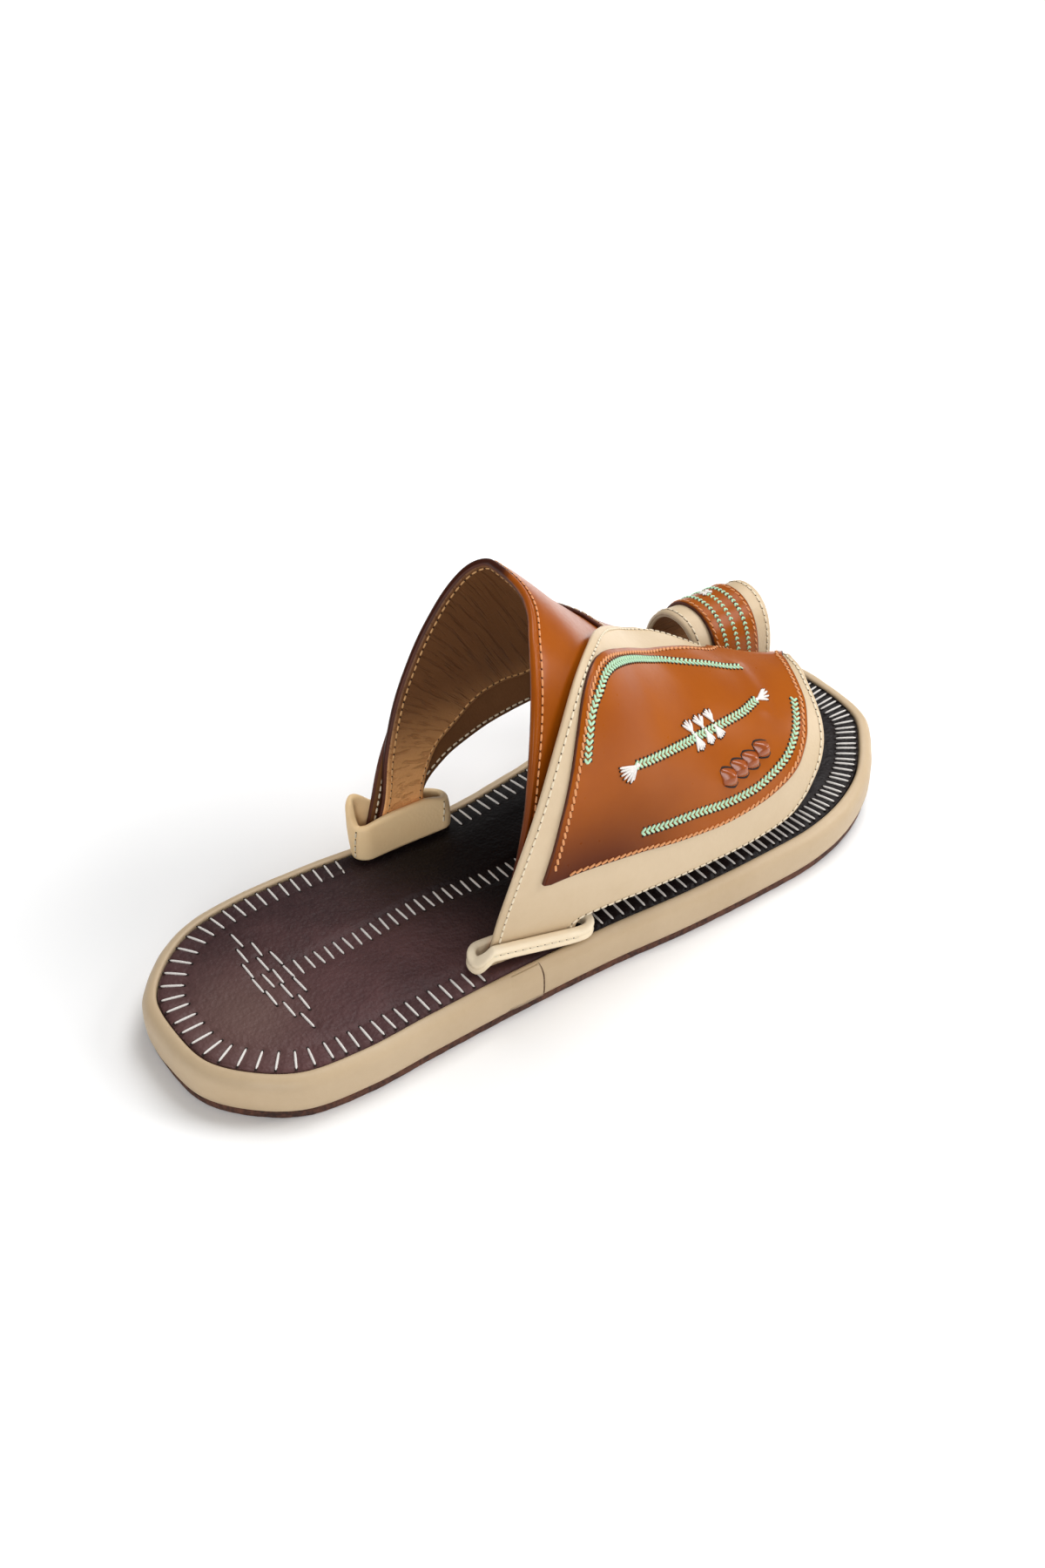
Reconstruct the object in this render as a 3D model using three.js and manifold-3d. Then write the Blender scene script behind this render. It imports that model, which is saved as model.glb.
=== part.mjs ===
// Arabic sandal, right shoe: a flat wrapped sole, three straps joined where they cross, a loop for the
// big toe and two keepers that hold the feet of the straps.
// Millimetres, +Z up, the toe towards +Y, the outer side of the foot towards +X.
// The origin is under the middle of the sole's box, on the floor.

import * as THREE from 'three';
import { mergeVertices } from 'three/addons/utils/BufferGeometryUtils.js';
import Module from 'manifold-3d';

const wasm = await Module();
wasm.setup();

// Driving dimensions of the sole
const soleLength = 288;
const ballWidth = 108;
const outsoleThickness = 2.9;
const outsoleInset = 0.9;
const outsoleBevel = 0.5;
const rimHeight = 15.5;
const rimWidth = 4.7;
const rimRounding = 5;
const rimEdge = 0.7;
const insoleThickness = 3.2;
const insoleHeight = 16.1;
const insoleRounding = 1.5;
const toeSpring = 8.6;
const springStart = 0.743;

// Driving dimensions of the straps
const instepHeight = 104;
const instepWall = 2.6;
const underWall = 2.4;
const panelWall = 2.6;
const seamDepth = 0.8;
const overlayWall = 1.2;

// Driving dimensions of the toe loop
const loopLength = 37;
const loopWidth = 32;
const loopHeight = 42;
const loopWall = 2.4;
const loopBandWall = 1.1;
const loopBandRear = 8.1;
const loopBandFront = 29.2;
const loopBandEnds = 0.04;

// Where the loop stands and how it narrows to the front: loopMiddle is a share of the ball's width,
// loopRear of the sole's length, and the rest are shares of the loop's own width and height
const loopMiddle = -0.285;
const loopRear = 0.797;
const loopTaper = 0.86;
const loopDrop = 0.92;
const loopBelly = 0.09;

// Driving dimensions of the keepers, and where each one's rear lies as a share of the sole's length
const keeperWall = 2;
const innerKeeperLength = 39;
const innerKeeperHeight = 14.5;
const outerKeeperLength = 43;
const outerKeeperHeight = 13;
const outerKeeperFront = 4.6;
const innerKeeperRear = 0.308;
const outerKeeperRear = 0.316;

// The clearance between pieces that touch on the real shoe
const seat = 0.3;

// How finely the curved forms are cut into facets: length by width for a strap
const outlineSteps = 44;
const instepFacets = [42, 9];
const underFacets = [34, 7];
const panelFacets = [42, 12];
const overlayFacets = [34, 10];
const loopFacets = [28, 5];
const loopBandFacets = [26, 3];

// The outline of the sole, from the heel's tip round each side to the toe's tip.
// along is a share of the sole's length from the heel, across a share of the ball's width from the middle.
const heelTip = { along: 0, across: 0.043 };
const toeTip = { along: 1, across: -0.061 };
const innerOutline = [
  { along: 0.0075, across: -0.12 },
  { along: 0.041, across: -0.245 },
  { along: 0.094, across: -0.343 },
  { along: 0.16, across: -0.38 },
  { along: 0.257, across: -0.379 },
  { along: 0.361, across: -0.354 },
  { along: 0.465, across: -0.352 },
  { along: 0.569, across: -0.389 },
  { along: 0.674, across: -0.439 },
  { along: 0.771, across: -0.481 },
  { along: 0.837, across: -0.5 },
  { along: 0.889, across: -0.477 },
  { along: 0.941, across: -0.417 },
  { along: 0.982, across: -0.296 },
  { along: 0.998, across: -0.176 },
];
const outerOutline = [
  { along: 0.0075, across: 0.208 },
  { along: 0.038, across: 0.329 },
  { along: 0.087, across: 0.426 },
  { along: 0.16, across: 0.459 },
  { along: 0.24, across: 0.457 },
  { along: 0.361, across: 0.457 },
  { along: 0.483, across: 0.468 },
  { along: 0.587, across: 0.491 },
  { along: 0.708, across: 0.5 },
  { along: 0.795, across: 0.493 },
  { along: 0.858, across: 0.458 },
  { along: 0.91, across: 0.394 },
  { along: 0.953, across: 0.296 },
  { along: 0.986, across: 0.185 },
  { along: 0.997, across: 0.074 },
];

// The arch that the straps stand over, as sections across the shoe from heel to toe.
// crest is where the top of the arch lies across the shoe and rise how high it stands over the insole;
// inner and outer are its feet, and the two bellies are how far its sides swell out over their feet.
// All but rise are shares of the ball's width, and rise is a share of the instep's height.
const archSections = [
  { along: 0.292, crest: -0.09, rise: 1.09, inner: -0.259, outer: 0.31, innerBelly: 0.06, outerBelly: 0.085 },
  { along: 0.361, crest: -0.12, rise: 1.09, inner: -0.259, outer: 0.338, innerBelly: 0.065, outerBelly: 0.072 },
  { along: 0.431, crest: -0.16, rise: 1.045, inner: -0.25, outer: 0.366, innerBelly: 0.07, outerBelly: 0.05 },
  { along: 0.5, crest: -0.185, rise: 0.94, inner: -0.25, outer: 0.39, innerBelly: 0.065, outerBelly: 0.034 },
  { along: 0.569, crest: -0.176, rise: 0.75, inner: -0.259, outer: 0.4, innerBelly: 0.06, outerBelly: 0.018 },
  { along: 0.639, crest: -0.148, rise: 0.585, inner: -0.24, outer: 0.404, innerBelly: 0.05, outerBelly: 0.006 },
  { along: 0.708, crest: -0.105, rise: 0.485, inner: -0.17, outer: 0.403, innerBelly: 0.03, outerBelly: 0 },
  { along: 0.778, crest: -0.035, rise: 0.375, inner: -0.065, outer: 0.394, innerBelly: 0.005, outerBelly: 0 },
  { along: 0.847, crest: 0.04, rise: 0.3, inner: -0.02, outer: 0.372, innerBelly: 0, outerBelly: 0 },
  { along: 0.917, crest: 0.075, rise: 0.24, inner: -0.01, outer: 0.325, innerBelly: 0, outerBelly: 0 },
  { along: 0.986, crest: 0.1, rise: 0.175, inner: 0, outer: 0.275, innerBelly: 0, outerBelly: 0 },
];
const innerFullness = 0.85;
const outerFullness = 0.8;
const riseFullness = 0.95;

// Where the front panel comes down from the under strap to the instep strap, as rounds of the arch
const panelStep = [0.82, 0.95];

// The straps, as stations from one end to the other. Each station joins a point of the rear edge to a
// point of the front edge: round runs over the arch from its inner foot, 0, to its outer foot, 1, and
// along is a share of the sole's length.
const instepStrap = [
  { rearRound: 0, rearAlong: 0.326, frontRound: 0, frontAlong: 0.42 },
  { rearRound: 0.04, rearAlong: 0.356, frontRound: 0.04, frontAlong: 0.413 },
  { rearRound: 0.094, rearAlong: 0.37, frontRound: 0.085, frontAlong: 0.436 },
  { rearRound: 0.15, rearAlong: 0.389, frontRound: 0.11, frontAlong: 0.468 },
  { rearRound: 0.21, rearAlong: 0.416, frontRound: 0.137, frontAlong: 0.5 },
  { rearRound: 0.28, rearAlong: 0.446, frontRound: 0.165, frontAlong: 0.541 },
  { rearRound: 0.36, rearAlong: 0.471, frontRound: 0.2, frontAlong: 0.585 },
  { rearRound: 0.45, rearAlong: 0.487, frontRound: 0.29, frontAlong: 0.622 },
  { rearRound: 0.53, rearAlong: 0.486, frontRound: 0.43, frontAlong: 0.635 },
  { rearRound: 0.59, rearAlong: 0.471, frontRound: 0.56, frontAlong: 0.62 },
  { rearRound: 0.655, rearAlong: 0.442, frontRound: 0.68, frontAlong: 0.585 },
  { rearRound: 0.72, rearAlong: 0.418, frontRound: 0.79, frontAlong: 0.535 },
  { rearRound: 0.79, rearAlong: 0.396, frontRound: 0.88, frontAlong: 0.483 },
  { rearRound: 0.86, rearAlong: 0.379, frontRound: 0.93, frontAlong: 0.46 },
  { rearRound: 0.93, rearAlong: 0.36, frontRound: 0.965, frontAlong: 0.449 },
  { rearRound: 1, rearAlong: 0.337, frontRound: 1, frontAlong: 0.437 },
];
const underStrap = [
  { rearRound: 0, rearAlong: 0.326, frontRound: 0, frontAlong: 0.426 },
  { rearRound: 0.04, rearAlong: 0.345, frontRound: 0.038, frontAlong: 0.417 },
  { rearRound: 0.09, rearAlong: 0.366, frontRound: 0.066, frontAlong: 0.451 },
  { rearRound: 0.14, rearAlong: 0.396, frontRound: 0.088, frontAlong: 0.5 },
  { rearRound: 0.19, rearAlong: 0.4375, frontRound: 0.115, frontAlong: 0.559 },
  { rearRound: 0.24, rearAlong: 0.483, frontRound: 0.15, frontAlong: 0.611 },
  { rearRound: 0.29, rearAlong: 0.521, frontRound: 0.21, frontAlong: 0.66 },
  { rearRound: 0.35, rearAlong: 0.552, frontRound: 0.3, frontAlong: 0.701 },
  { rearRound: 0.41, rearAlong: 0.58, frontRound: 0.41, frontAlong: 0.726 },
  { rearRound: 0.48, rearAlong: 0.604, frontRound: 0.52, frontAlong: 0.736 },
  { rearRound: 0.56, rearAlong: 0.618, frontRound: 0.62, frontAlong: 0.733 },
  { rearRound: 0.65, rearAlong: 0.622, frontRound: 0.72, frontAlong: 0.719 },
  { rearRound: 0.74, rearAlong: 0.618, frontRound: 0.8, frontAlong: 0.701 },
];
const frontPanel = [
  { rearRound: 0, rearAlong: 0.835, frontRound: 0, frontAlong: 0.905 },
  { rearRound: 0.15, rearAlong: 0.83, frontRound: 0.15, frontAlong: 0.905 },
  { rearRound: 0.28, rearAlong: 0.82, frontRound: 0.28, frontAlong: 0.9 },
  { rearRound: 0.37, rearAlong: 0.802, frontRound: 0.39, frontAlong: 0.893 },
  { rearRound: 0.435, rearAlong: 0.777, frontRound: 0.485, frontAlong: 0.882 },
  { rearRound: 0.475, rearAlong: 0.74, frontRound: 0.55, frontAlong: 0.871 },
  { rearRound: 0.492, rearAlong: 0.7, frontRound: 0.61, frontAlong: 0.858 },
  { rearRound: 0.502, rearAlong: 0.66, frontRound: 0.675, frontAlong: 0.848 },
  { rearRound: 0.52, rearAlong: 0.625, frontRound: 0.735, frontAlong: 0.84 },
  { rearRound: 0.553, rearAlong: 0.59, frontRound: 0.79, frontAlong: 0.83 },
  { rearRound: 0.6, rearAlong: 0.548, frontRound: 0.84, frontAlong: 0.816 },
  { rearRound: 0.655, rearAlong: 0.507, frontRound: 0.885, frontAlong: 0.8 },
  { rearRound: 0.71, rearAlong: 0.465, frontRound: 0.925, frontAlong: 0.783 },
  { rearRound: 0.765, rearAlong: 0.429, frontRound: 0.957, frontAlong: 0.757 },
  { rearRound: 0.815, rearAlong: 0.4, frontRound: 0.972, frontAlong: 0.71 },
  { rearRound: 0.865, rearAlong: 0.376, frontRound: 0.976, frontAlong: 0.63 },
  { rearRound: 0.91, rearAlong: 0.358, frontRound: 0.977, frontAlong: 0.55 },
  { rearRound: 0.95, rearAlong: 0.344, frontRound: 0.978, frontAlong: 0.48 },
  { rearRound: 0.975, rearAlong: 0.338, frontRound: 0.983, frontAlong: 0.447 },
  { rearRound: 1, rearAlong: 0.334, frontRound: 1, frontAlong: 0.441 },
];
const panelInset = [
  { rearRound: 0.4, rearAlong: 0.825, frontRound: 0.43, frontAlong: 0.882 },
  { rearRound: 0.44, rearAlong: 0.807, frontRound: 0.504, frontAlong: 0.863 },
  { rearRound: 0.485, rearAlong: 0.775, frontRound: 0.56, frontAlong: 0.849 },
  { rearRound: 0.52, rearAlong: 0.74, frontRound: 0.615, frontAlong: 0.838 },
  { rearRound: 0.545, rearAlong: 0.7, frontRound: 0.67, frontAlong: 0.828 },
  { rearRound: 0.565, rearAlong: 0.655, frontRound: 0.72, frontAlong: 0.815 },
  { rearRound: 0.59, rearAlong: 0.615, frontRound: 0.765, frontAlong: 0.802 },
  { rearRound: 0.615, rearAlong: 0.58, frontRound: 0.8, frontAlong: 0.788 },
  { rearRound: 0.645, rearAlong: 0.54, frontRound: 0.835, frontAlong: 0.77 },
  { rearRound: 0.68, rearAlong: 0.5, frontRound: 0.865, frontAlong: 0.745 },
  { rearRound: 0.72, rearAlong: 0.471, frontRound: 0.89, frontAlong: 0.71 },
  { rearRound: 0.765, rearAlong: 0.45, frontRound: 0.905, frontAlong: 0.66 },
  { rearRound: 0.81, rearAlong: 0.433, frontRound: 0.913, frontAlong: 0.6 },
  { rearRound: 0.855, rearAlong: 0.416, frontRound: 0.918, frontAlong: 0.53 },
  { rearRound: 0.89, rearAlong: 0.405, frontRound: 0.921, frontAlong: 0.46 },
  { rearRound: 0.922, rearAlong: 0.394, frontRound: 0.924, frontAlong: 0.405 },
];

// Colours and finishes
const finishes = {
  beige: { color: 0xdcc9a3, roughness: 0.55 },
  cognac: { color: 0x9a4f22, roughness: 0.3 },
  aubergine: { color: 0x2a1a1e, roughness: 0.5 },
  roughLeather: { color: 0x5a3626, roughness: 0.85 },
};

// A value read from a table with a smooth curve through its rows.
// keyOf gives the place of a row, and the rows are in rising order.
function readTable(rows, keyOf, column, at) {
  const last = rows.length - 1;
  const place = THREE.MathUtils.clamp(at, keyOf(0), keyOf(last));
  let row = 0;
  while (row < last - 1 && keyOf(row + 1) < place) row += 1;
  const span = keyOf(row + 1) - keyOf(row);
  const share = (place - keyOf(row)) / span;
  const value = (index) => rows[THREE.MathUtils.clamp(index, 0, last)][column];
  const key = (index) => keyOf(THREE.MathUtils.clamp(index, 0, last));
  const slope = (index) => (value(index + 1) - value(index - 1)) / (key(index + 1) - key(index - 1));
  const square = share * share;
  const cube = square * share;
  return (
    (2 * cube - 3 * square + 1) * value(row) +
    (cube - 2 * square + share) * span * slope(row) +
    (3 * square - 2 * cube) * value(row + 1) +
    (cube - square) * span * slope(row + 1)
  );
}

const alongToY = (along) => (along - 0.5) * soleLength;
const yToAlong = (y) => y / soleLength + 0.5;

// How far the toe spring lifts every layer of the sole at a place along the shoe
function spring(y) {
  const share = Math.max(0, (yToAlong(y) - springStart) / (1 - springStart));
  return toeSpring * share * share;
}

// One loop round the sole, its points set in from the outline by inset and raised to height
const outlineLoop = makeOutlineLoop();

function makeOutlineLoop() {
  const toPoint = (row) => new THREE.Vector3(row.across * ballWidth, alongToY(row.along), 0);
  const rows = [heelTip, ...innerOutline, toeTip, ...[...outerOutline].reverse()];
  const curve = new THREE.CatmullRomCurve3(rows.map(toPoint), true, 'centripetal');
  const toeShare = (innerOutline.length + 1) / rows.length;
  const fineSteps = 600;
  const side = (from, to) => {
    const points = [];
    for (let step = 0; step <= fineSteps; step += 1) {
      points.push(curve.getPoint(from + ((to - from) * step) / fineSteps));
    }
    return evenly(points, outlineSteps);
  };
  const inner = side(0, toeShare);
  const outer = side(1, toeShare);
  return [...inner, ...outer.slice(1, -1).reverse()];
}

// The points of a fine line at equal steps of its length
function evenly(points, steps) {
  const lengths = [0];
  points.slice(1).forEach((point, index) => lengths.push(lengths[index] + point.distanceTo(points[index])));
  const total = lengths[lengths.length - 1];
  const result = [];
  let index = 0;
  for (let step = 0; step <= steps; step += 1) {
    const wanted = (total * step) / steps;
    while (index < lengths.length - 2 && lengths[index + 1] < wanted) index += 1;
    const share = (wanted - lengths[index]) / (lengths[index + 1] - lengths[index]);
    result.push(points[index].clone().lerp(points[index + 1], share));
  }
  return result;
}

function soleLoop(inset, height) {
  const count = outlineLoop.length;
  return outlineLoop.map((point, index) => {
    const before = outlineLoop[(index + count - 1) % count];
    const after = outlineLoop[(index + 1) % count];
    const direction = after.clone().sub(before).normalize();
    const x = point.x + direction.y * inset;
    const y = point.y - direction.x * inset;
    return new THREE.Vector3(x, y, height + spring(y));
  });
}

// A closed mesh from lists of points and triangles
function closedMesh(points, triangles) {
  const raw = new THREE.BufferGeometry();
  raw.setAttribute('position', new THREE.Float32BufferAttribute(points.flatMap((p) => [p.x, p.y, p.z]), 3));
  raw.setIndex(triangles);
  return mergeVertices(raw, 1e-4);
}

// A layer of the sole: loops stacked from its underside over its side to its top, with both ends closed
// by rows of facets across the shoe
function soleLayer(loops) {
  const count = loops[0].length;
  const points = loops.flat();
  const triangles = [];
  for (let level = 0; level < loops.length - 1; level += 1) {
    for (let index = 0; index < count; index += 1) {
      const next = (index + 1) % count;
      const a = level * count + index;
      const b = level * count + next;
      const c = (level + 1) * count + next;
      const d = (level + 1) * count + index;
      triangles.push(a, c, b, a, d, c);
    }
  }
  const closeEnd = (start, upwards) => {
    for (let index = 0; index < count / 2; index += 1) {
      const a = start + index;
      const b = start + index + 1;
      const c = start + ((count - index - 1) % count);
      const d = start + ((count - index) % count);
      const add = (p, q, r) => {
        if (p === q || q === r || p === r) return;
        triangles.push(...(upwards ? [p, r, q] : [p, q, r]));
      };
      add(a, b, c);
      add(a, c, d);
    }
  };
  closeEnd(0, false);
  closeEnd((loops.length - 1) * count, true);
  return closedMesh(points, triangles);
}

function outsole() {
  return soleLayer([
    soleLoop(outsoleInset + outsoleBevel, 0),
    soleLoop(outsoleInset, outsoleBevel),
    soleLoop(outsoleInset, outsoleThickness),
  ]);
}

// The platform: an upright side, a quarter-round rim and a recess for the insole
function midsole() {
  const base = outsoleThickness + seat;
  const recess = insoleHeight - insoleThickness - seat;
  const loops = [soleLoop(outsoleInset, base), soleLoop(0, base + outsoleInset)];
  const roundSteps = 5;
  for (let step = 0; step <= roundSteps; step += 1) {
    const angle = (step / roundSteps) * (Math.PI / 2);
    const inset = (rimWidth - rimEdge) * (1 - Math.cos(angle));
    loops.push(soleLoop(inset, rimHeight - rimRounding * (1 - Math.sin(angle))));
  }
  loops.push(soleLoop(rimWidth, rimHeight - rimEdge));
  loops.push(soleLoop(rimWidth, recess));
  return soleLayer(loops);
}

function insole() {
  const edge = rimWidth + seat;
  return soleLayer([
    soleLoop(edge, insoleHeight - insoleThickness),
    soleLoop(edge, insoleHeight - insoleRounding),
    soleLoop(edge + insoleRounding / 2, insoleHeight - insoleRounding / 3),
    soleLoop(edge + 1.5 * insoleRounding, insoleHeight),
  ]);
}

// A point of an arch: angle 0 is its inner foot and a half turn its outer foot
function archPoint(section, angle) {
  const cosine = Math.cos(angle);
  const inner = cosine > 0;
  const reach = inner ? section.inner - section.crest : section.outer - section.crest;
  const fullness = inner ? innerFullness : outerFullness;
  const belly = inner ? section.innerBelly : section.outerBelly;
  return {
    x: section.crest + reach * Math.abs(cosine) ** fullness - belly * Math.sin(2 * angle),
    rise: section.rise * Math.max(0, Math.sin(angle)) ** riseFullness,
  };
}

// A point on the underside of the straps
function lastPoint(round, y) {
  const read = (column) => readTable(archSections, (row) => archSections[row].along, column, yToAlong(y));
  const section = {
    crest: read('crest') * ballWidth,
    inner: read('inner') * ballWidth,
    outer: read('outer') * ballWidth,
    innerBelly: read('innerBelly') * ballWidth,
    outerBelly: read('outerBelly') * ballWidth,
    rise: read('rise') * instepHeight,
  };
  const point = archPoint(section, round * Math.PI);
  return new THREE.Vector3(point.x, y, insoleHeight + spring(y) + seat + point.rise);
}

// A point raised square from a surface that two numbers run over, kept clear of the insole
function raised(surface, first, second, lift, firstStep, secondStep) {
  const point = surface(first, second);
  const alongFirst = surface(first + firstStep, second).sub(surface(first - firstStep, second));
  const alongSecond = surface(first, second + secondStep).sub(surface(first, second - secondStep));
  const normal = alongFirst.cross(alongSecond).normalize();
  const result = point.addScaledVector(normal, lift);
  result.z = Math.max(result.z, insoleHeight + spring(result.y) + seat);
  return result;
}

// The small steps over which the slope of a surface is taken, round the arch and along the shoe
const roundStep = 0.002;
const alongStep = 0.5;

function strapPoint(round, y, lift) {
  const inside = THREE.MathUtils.clamp(round, roundStep, 1 - roundStep);
  const point = raised(lastPoint, inside, y, lift, roundStep, alongStep);
  if (inside !== round) point.z = insoleHeight + spring(point.y) + seat;
  return point;
}

// A closed sheet over a grid: place gives the point at a share of its length, a share of its width and
// a share of its thickness
function sheet(place, [lengthSteps, widthSteps]) {
  const points = [];
  const triangles = [];
  const across = widthSteps + 1;
  const layer = (lengthSteps + 1) * across;
  for (const depth of [0, 1]) {
    for (let i = 0; i <= lengthSteps; i += 1) {
      for (let j = 0; j <= widthSteps; j += 1) points.push(place(i / lengthSteps, j / widthSteps, depth));
    }
  }
  const quad = (a, b, c, d) => triangles.push(a, b, c, a, c, d);
  const at = (i, j, depth) => depth * layer + i * across + j;
  for (let i = 0; i < lengthSteps; i += 1) {
    for (let j = 0; j < widthSteps; j += 1) {
      quad(at(i, j, 1), at(i + 1, j, 1), at(i + 1, j + 1, 1), at(i, j + 1, 1));
      quad(at(i, j, 0), at(i, j + 1, 0), at(i + 1, j + 1, 0), at(i + 1, j, 0));
    }
    quad(at(i, 0, 0), at(i + 1, 0, 0), at(i + 1, 0, 1), at(i, 0, 1));
    quad(at(i, widthSteps, 0), at(i, widthSteps, 1), at(i + 1, widthSteps, 1), at(i + 1, widthSteps, 0));
  }
  for (let j = 0; j < widthSteps; j += 1) {
    quad(at(0, j, 0), at(0, j, 1), at(0, j + 1, 1), at(0, j + 1, 0));
    quad(at(lengthSteps, j, 0), at(lengthSteps, j + 1, 0), at(lengthSteps, j + 1, 1), at(lengthSteps, j, 1));
  }
  return closedMesh(points, triangles);
}

// Where a strap's station lies on the arch, at a share of the strap's length and width
function stationPlace(stations, length, width) {
  const at = length * (stations.length - 1);
  const read = (column) => readTable(stations, (row) => row, column, at);
  return {
    round: THREE.MathUtils.lerp(read('rearRound'), read('frontRound'), width),
    y: alongToY(THREE.MathUtils.lerp(read('rearAlong'), read('frontAlong'), width)),
  };
}

function strap(stations, liftAt, wall, facets) {
  return sheet((length, width, depth) => {
    const { round, y } = stationPlace(stations, length, width);
    return strapPoint(round, y, liftAt(round) + depth * wall);
  }, facets);
}

// The layers of the straps: the instep strap lies on the foot, the under strap on it, and the front panel
// on both, but straight on the instep strap at the outer keeper
const underLift = instepWall - seamDepth;
const panelLift = underLift + underWall - seamDepth;
function panelLiftAt(round) {
  return THREE.MathUtils.lerp(panelLift, underLift, THREE.MathUtils.smoothstep(round, ...panelStep));
}

function toManifold(geometry) {
  return new wasm.Manifold(new wasm.Mesh({
    numProp: 3,
    vertProperties: new Float32Array(geometry.getAttribute('position').array),
    triVerts: new Uint32Array(geometry.index.array),
  }));
}

function fromManifold(solid) {
  const mesh = solid.getMesh();
  const geometry = new THREE.BufferGeometry();
  geometry.setAttribute('position', new THREE.Float32BufferAttribute(Array.from(mesh.vertProperties), 3));
  geometry.setIndex(Array.from(mesh.triVerts));
  return geometry;
}

function upper() {
  const instep = toManifold(strap(instepStrap, () => 0, instepWall, instepFacets));
  const under = toManifold(strap(underStrap, () => underLift, underWall, underFacets));
  const panel = toManifold(strap(frontPanel, panelLiftAt, panelWall, panelFacets));
  return fromManifold(instep.add(under).add(panel));
}

// The loop for the big toe: an arch of its own, narrower and lower towards its front
function loopPoint(round, y) {
  const share = (y - alongToY(loopRear)) / loopLength;
  const half = (loopWidth / 2) * THREE.MathUtils.lerp(1, loopTaper, share);
  const middle = loopMiddle * ballWidth;
  const belly = loopBelly * loopWidth;
  const section = {
    crest: middle,
    inner: middle - half + belly,
    outer: middle + half - belly,
    innerBelly: belly,
    outerBelly: belly,
    rise: loopHeight * THREE.MathUtils.lerp(1, loopDrop, share),
  };
  const point = archPoint(section, round * Math.PI);
  return new THREE.Vector3(point.x, y, insoleHeight + spring(y) + seat + point.rise);
}

// A sheet on the loop from rear to front, measured from the loop's rear edge; ends is how much of the
// arch it leaves free at each foot
function loopSheet(rear, front, ends, lift, wall, facets) {
  return sheet((length, width, depth) => {
    const round = THREE.MathUtils.lerp(ends, 1 - ends, length);
    const y = alongToY(loopRear) + THREE.MathUtils.lerp(rear, front, width);
    const inside = THREE.MathUtils.clamp(round, roundStep, 1 - roundStep);
    return raised(loopPoint, inside, y, lift + depth * wall, roundStep, alongStep);
  }, facets);
}

// The round of the arch at a height over the insole, on its inner or its outer side
function roundAtHeight(height, y, side) {
  const rise = readTable(archSections, (row) => archSections[row].along, 'rise', yToAlong(y)) * instepHeight;
  const round = Math.asin((height / rise) ** (1 / riseFullness)) / Math.PI;
  return side === 'inner' ? round : 1 - round;
}

// A keeper: a collar of leather round the feet of two straps, leaning as they lean.
// rear is where its outside begins, stack how thick the straps in it are, and heightAt its top.
function keeper(side, rear, length, stack, heightAt) {
  const levels = 3;
  const endSteps = 6;
  const sideSteps = 8;
  const wallPoints = (spread) => {
    const radius = stack / 2 + seat + spread;
    const straight = length - 2 * (stack / 2 + seat + keeperWall);
    const points = [];
    const addEnd = (centre, start) => {
      for (let step = 0; step <= endSteps; step += 1) {
        const angle = start + (Math.PI * step) / endSteps;
        points.push({ along: centre + radius * Math.cos(angle), lift: stack / 2 + radius * Math.sin(angle) });
      }
    };
    const addSide = (from, to, lift) => {
      for (let step = 1; step < sideSteps; step += 1) {
        points.push({ along: from + ((to - from) * step) / sideSteps, lift });
      }
    };
    addEnd(straight / 2, -Math.PI / 2);
    addSide(straight / 2, -straight / 2, stack / 2 + radius);
    addEnd(-straight / 2, Math.PI / 2);
    addSide(-straight / 2, straight / 2, stack / 2 - radius);
    return points;
  };
  const place = (point, level) => {
    const y = rear + length / 2 + point.along;
    const height = (heightAt((point.along + length / 2) / length) * level) / levels;
    return strapPoint(roundAtHeight(height, y, side), y, point.lift);
  };
  const walls = [wallPoints(keeperWall), wallPoints(0)];
  const count = walls[0].length;
  const points = [];
  for (const wall of walls) {
    for (let level = 0; level <= levels; level += 1) {
      points.push(...wall.map((point) => place(point, level)));
    }
  }
  const triangles = [];
  const at = (wall, level, index) => (wall * (levels + 1) + level) * count + (index % count);
  const quad = (a, b, c, d) => {
    if (side === 'outer') triangles.push(a, c, b, a, d, c);
    else triangles.push(a, b, c, a, c, d);
  };
  for (let index = 0; index < count; index += 1) {
    for (let level = 0; level < levels; level += 1) {
      quad(at(0, level, index), at(0, level, index + 1), at(0, level + 1, index + 1), at(0, level + 1, index));
      quad(at(1, level, index), at(1, level + 1, index), at(1, level + 1, index + 1), at(1, level, index + 1));
    }
    quad(at(0, 0, index), at(1, 0, index), at(1, 0, index + 1), at(0, 0, index + 1));
    quad(at(0, levels, index), at(0, levels, index + 1), at(1, levels, index + 1), at(1, levels, index));
  }
  return closedMesh(points, triangles);
}

const palette = Object.fromEntries(
  Object.entries(finishes).map(([name, finish]) => [
    name,
    new THREE.MeshStandardMaterial({ ...finish, metalness: 0 }),
  ]),
);

const sandal = new THREE.Group();
sandal.name = 'arabic_sandal';

function addPiece(name, geometry, finish) {
  const mesh = new THREE.Mesh(geometry, palette[finish]);
  mesh.name = name;
  sandal.add(mesh);
}

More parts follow.
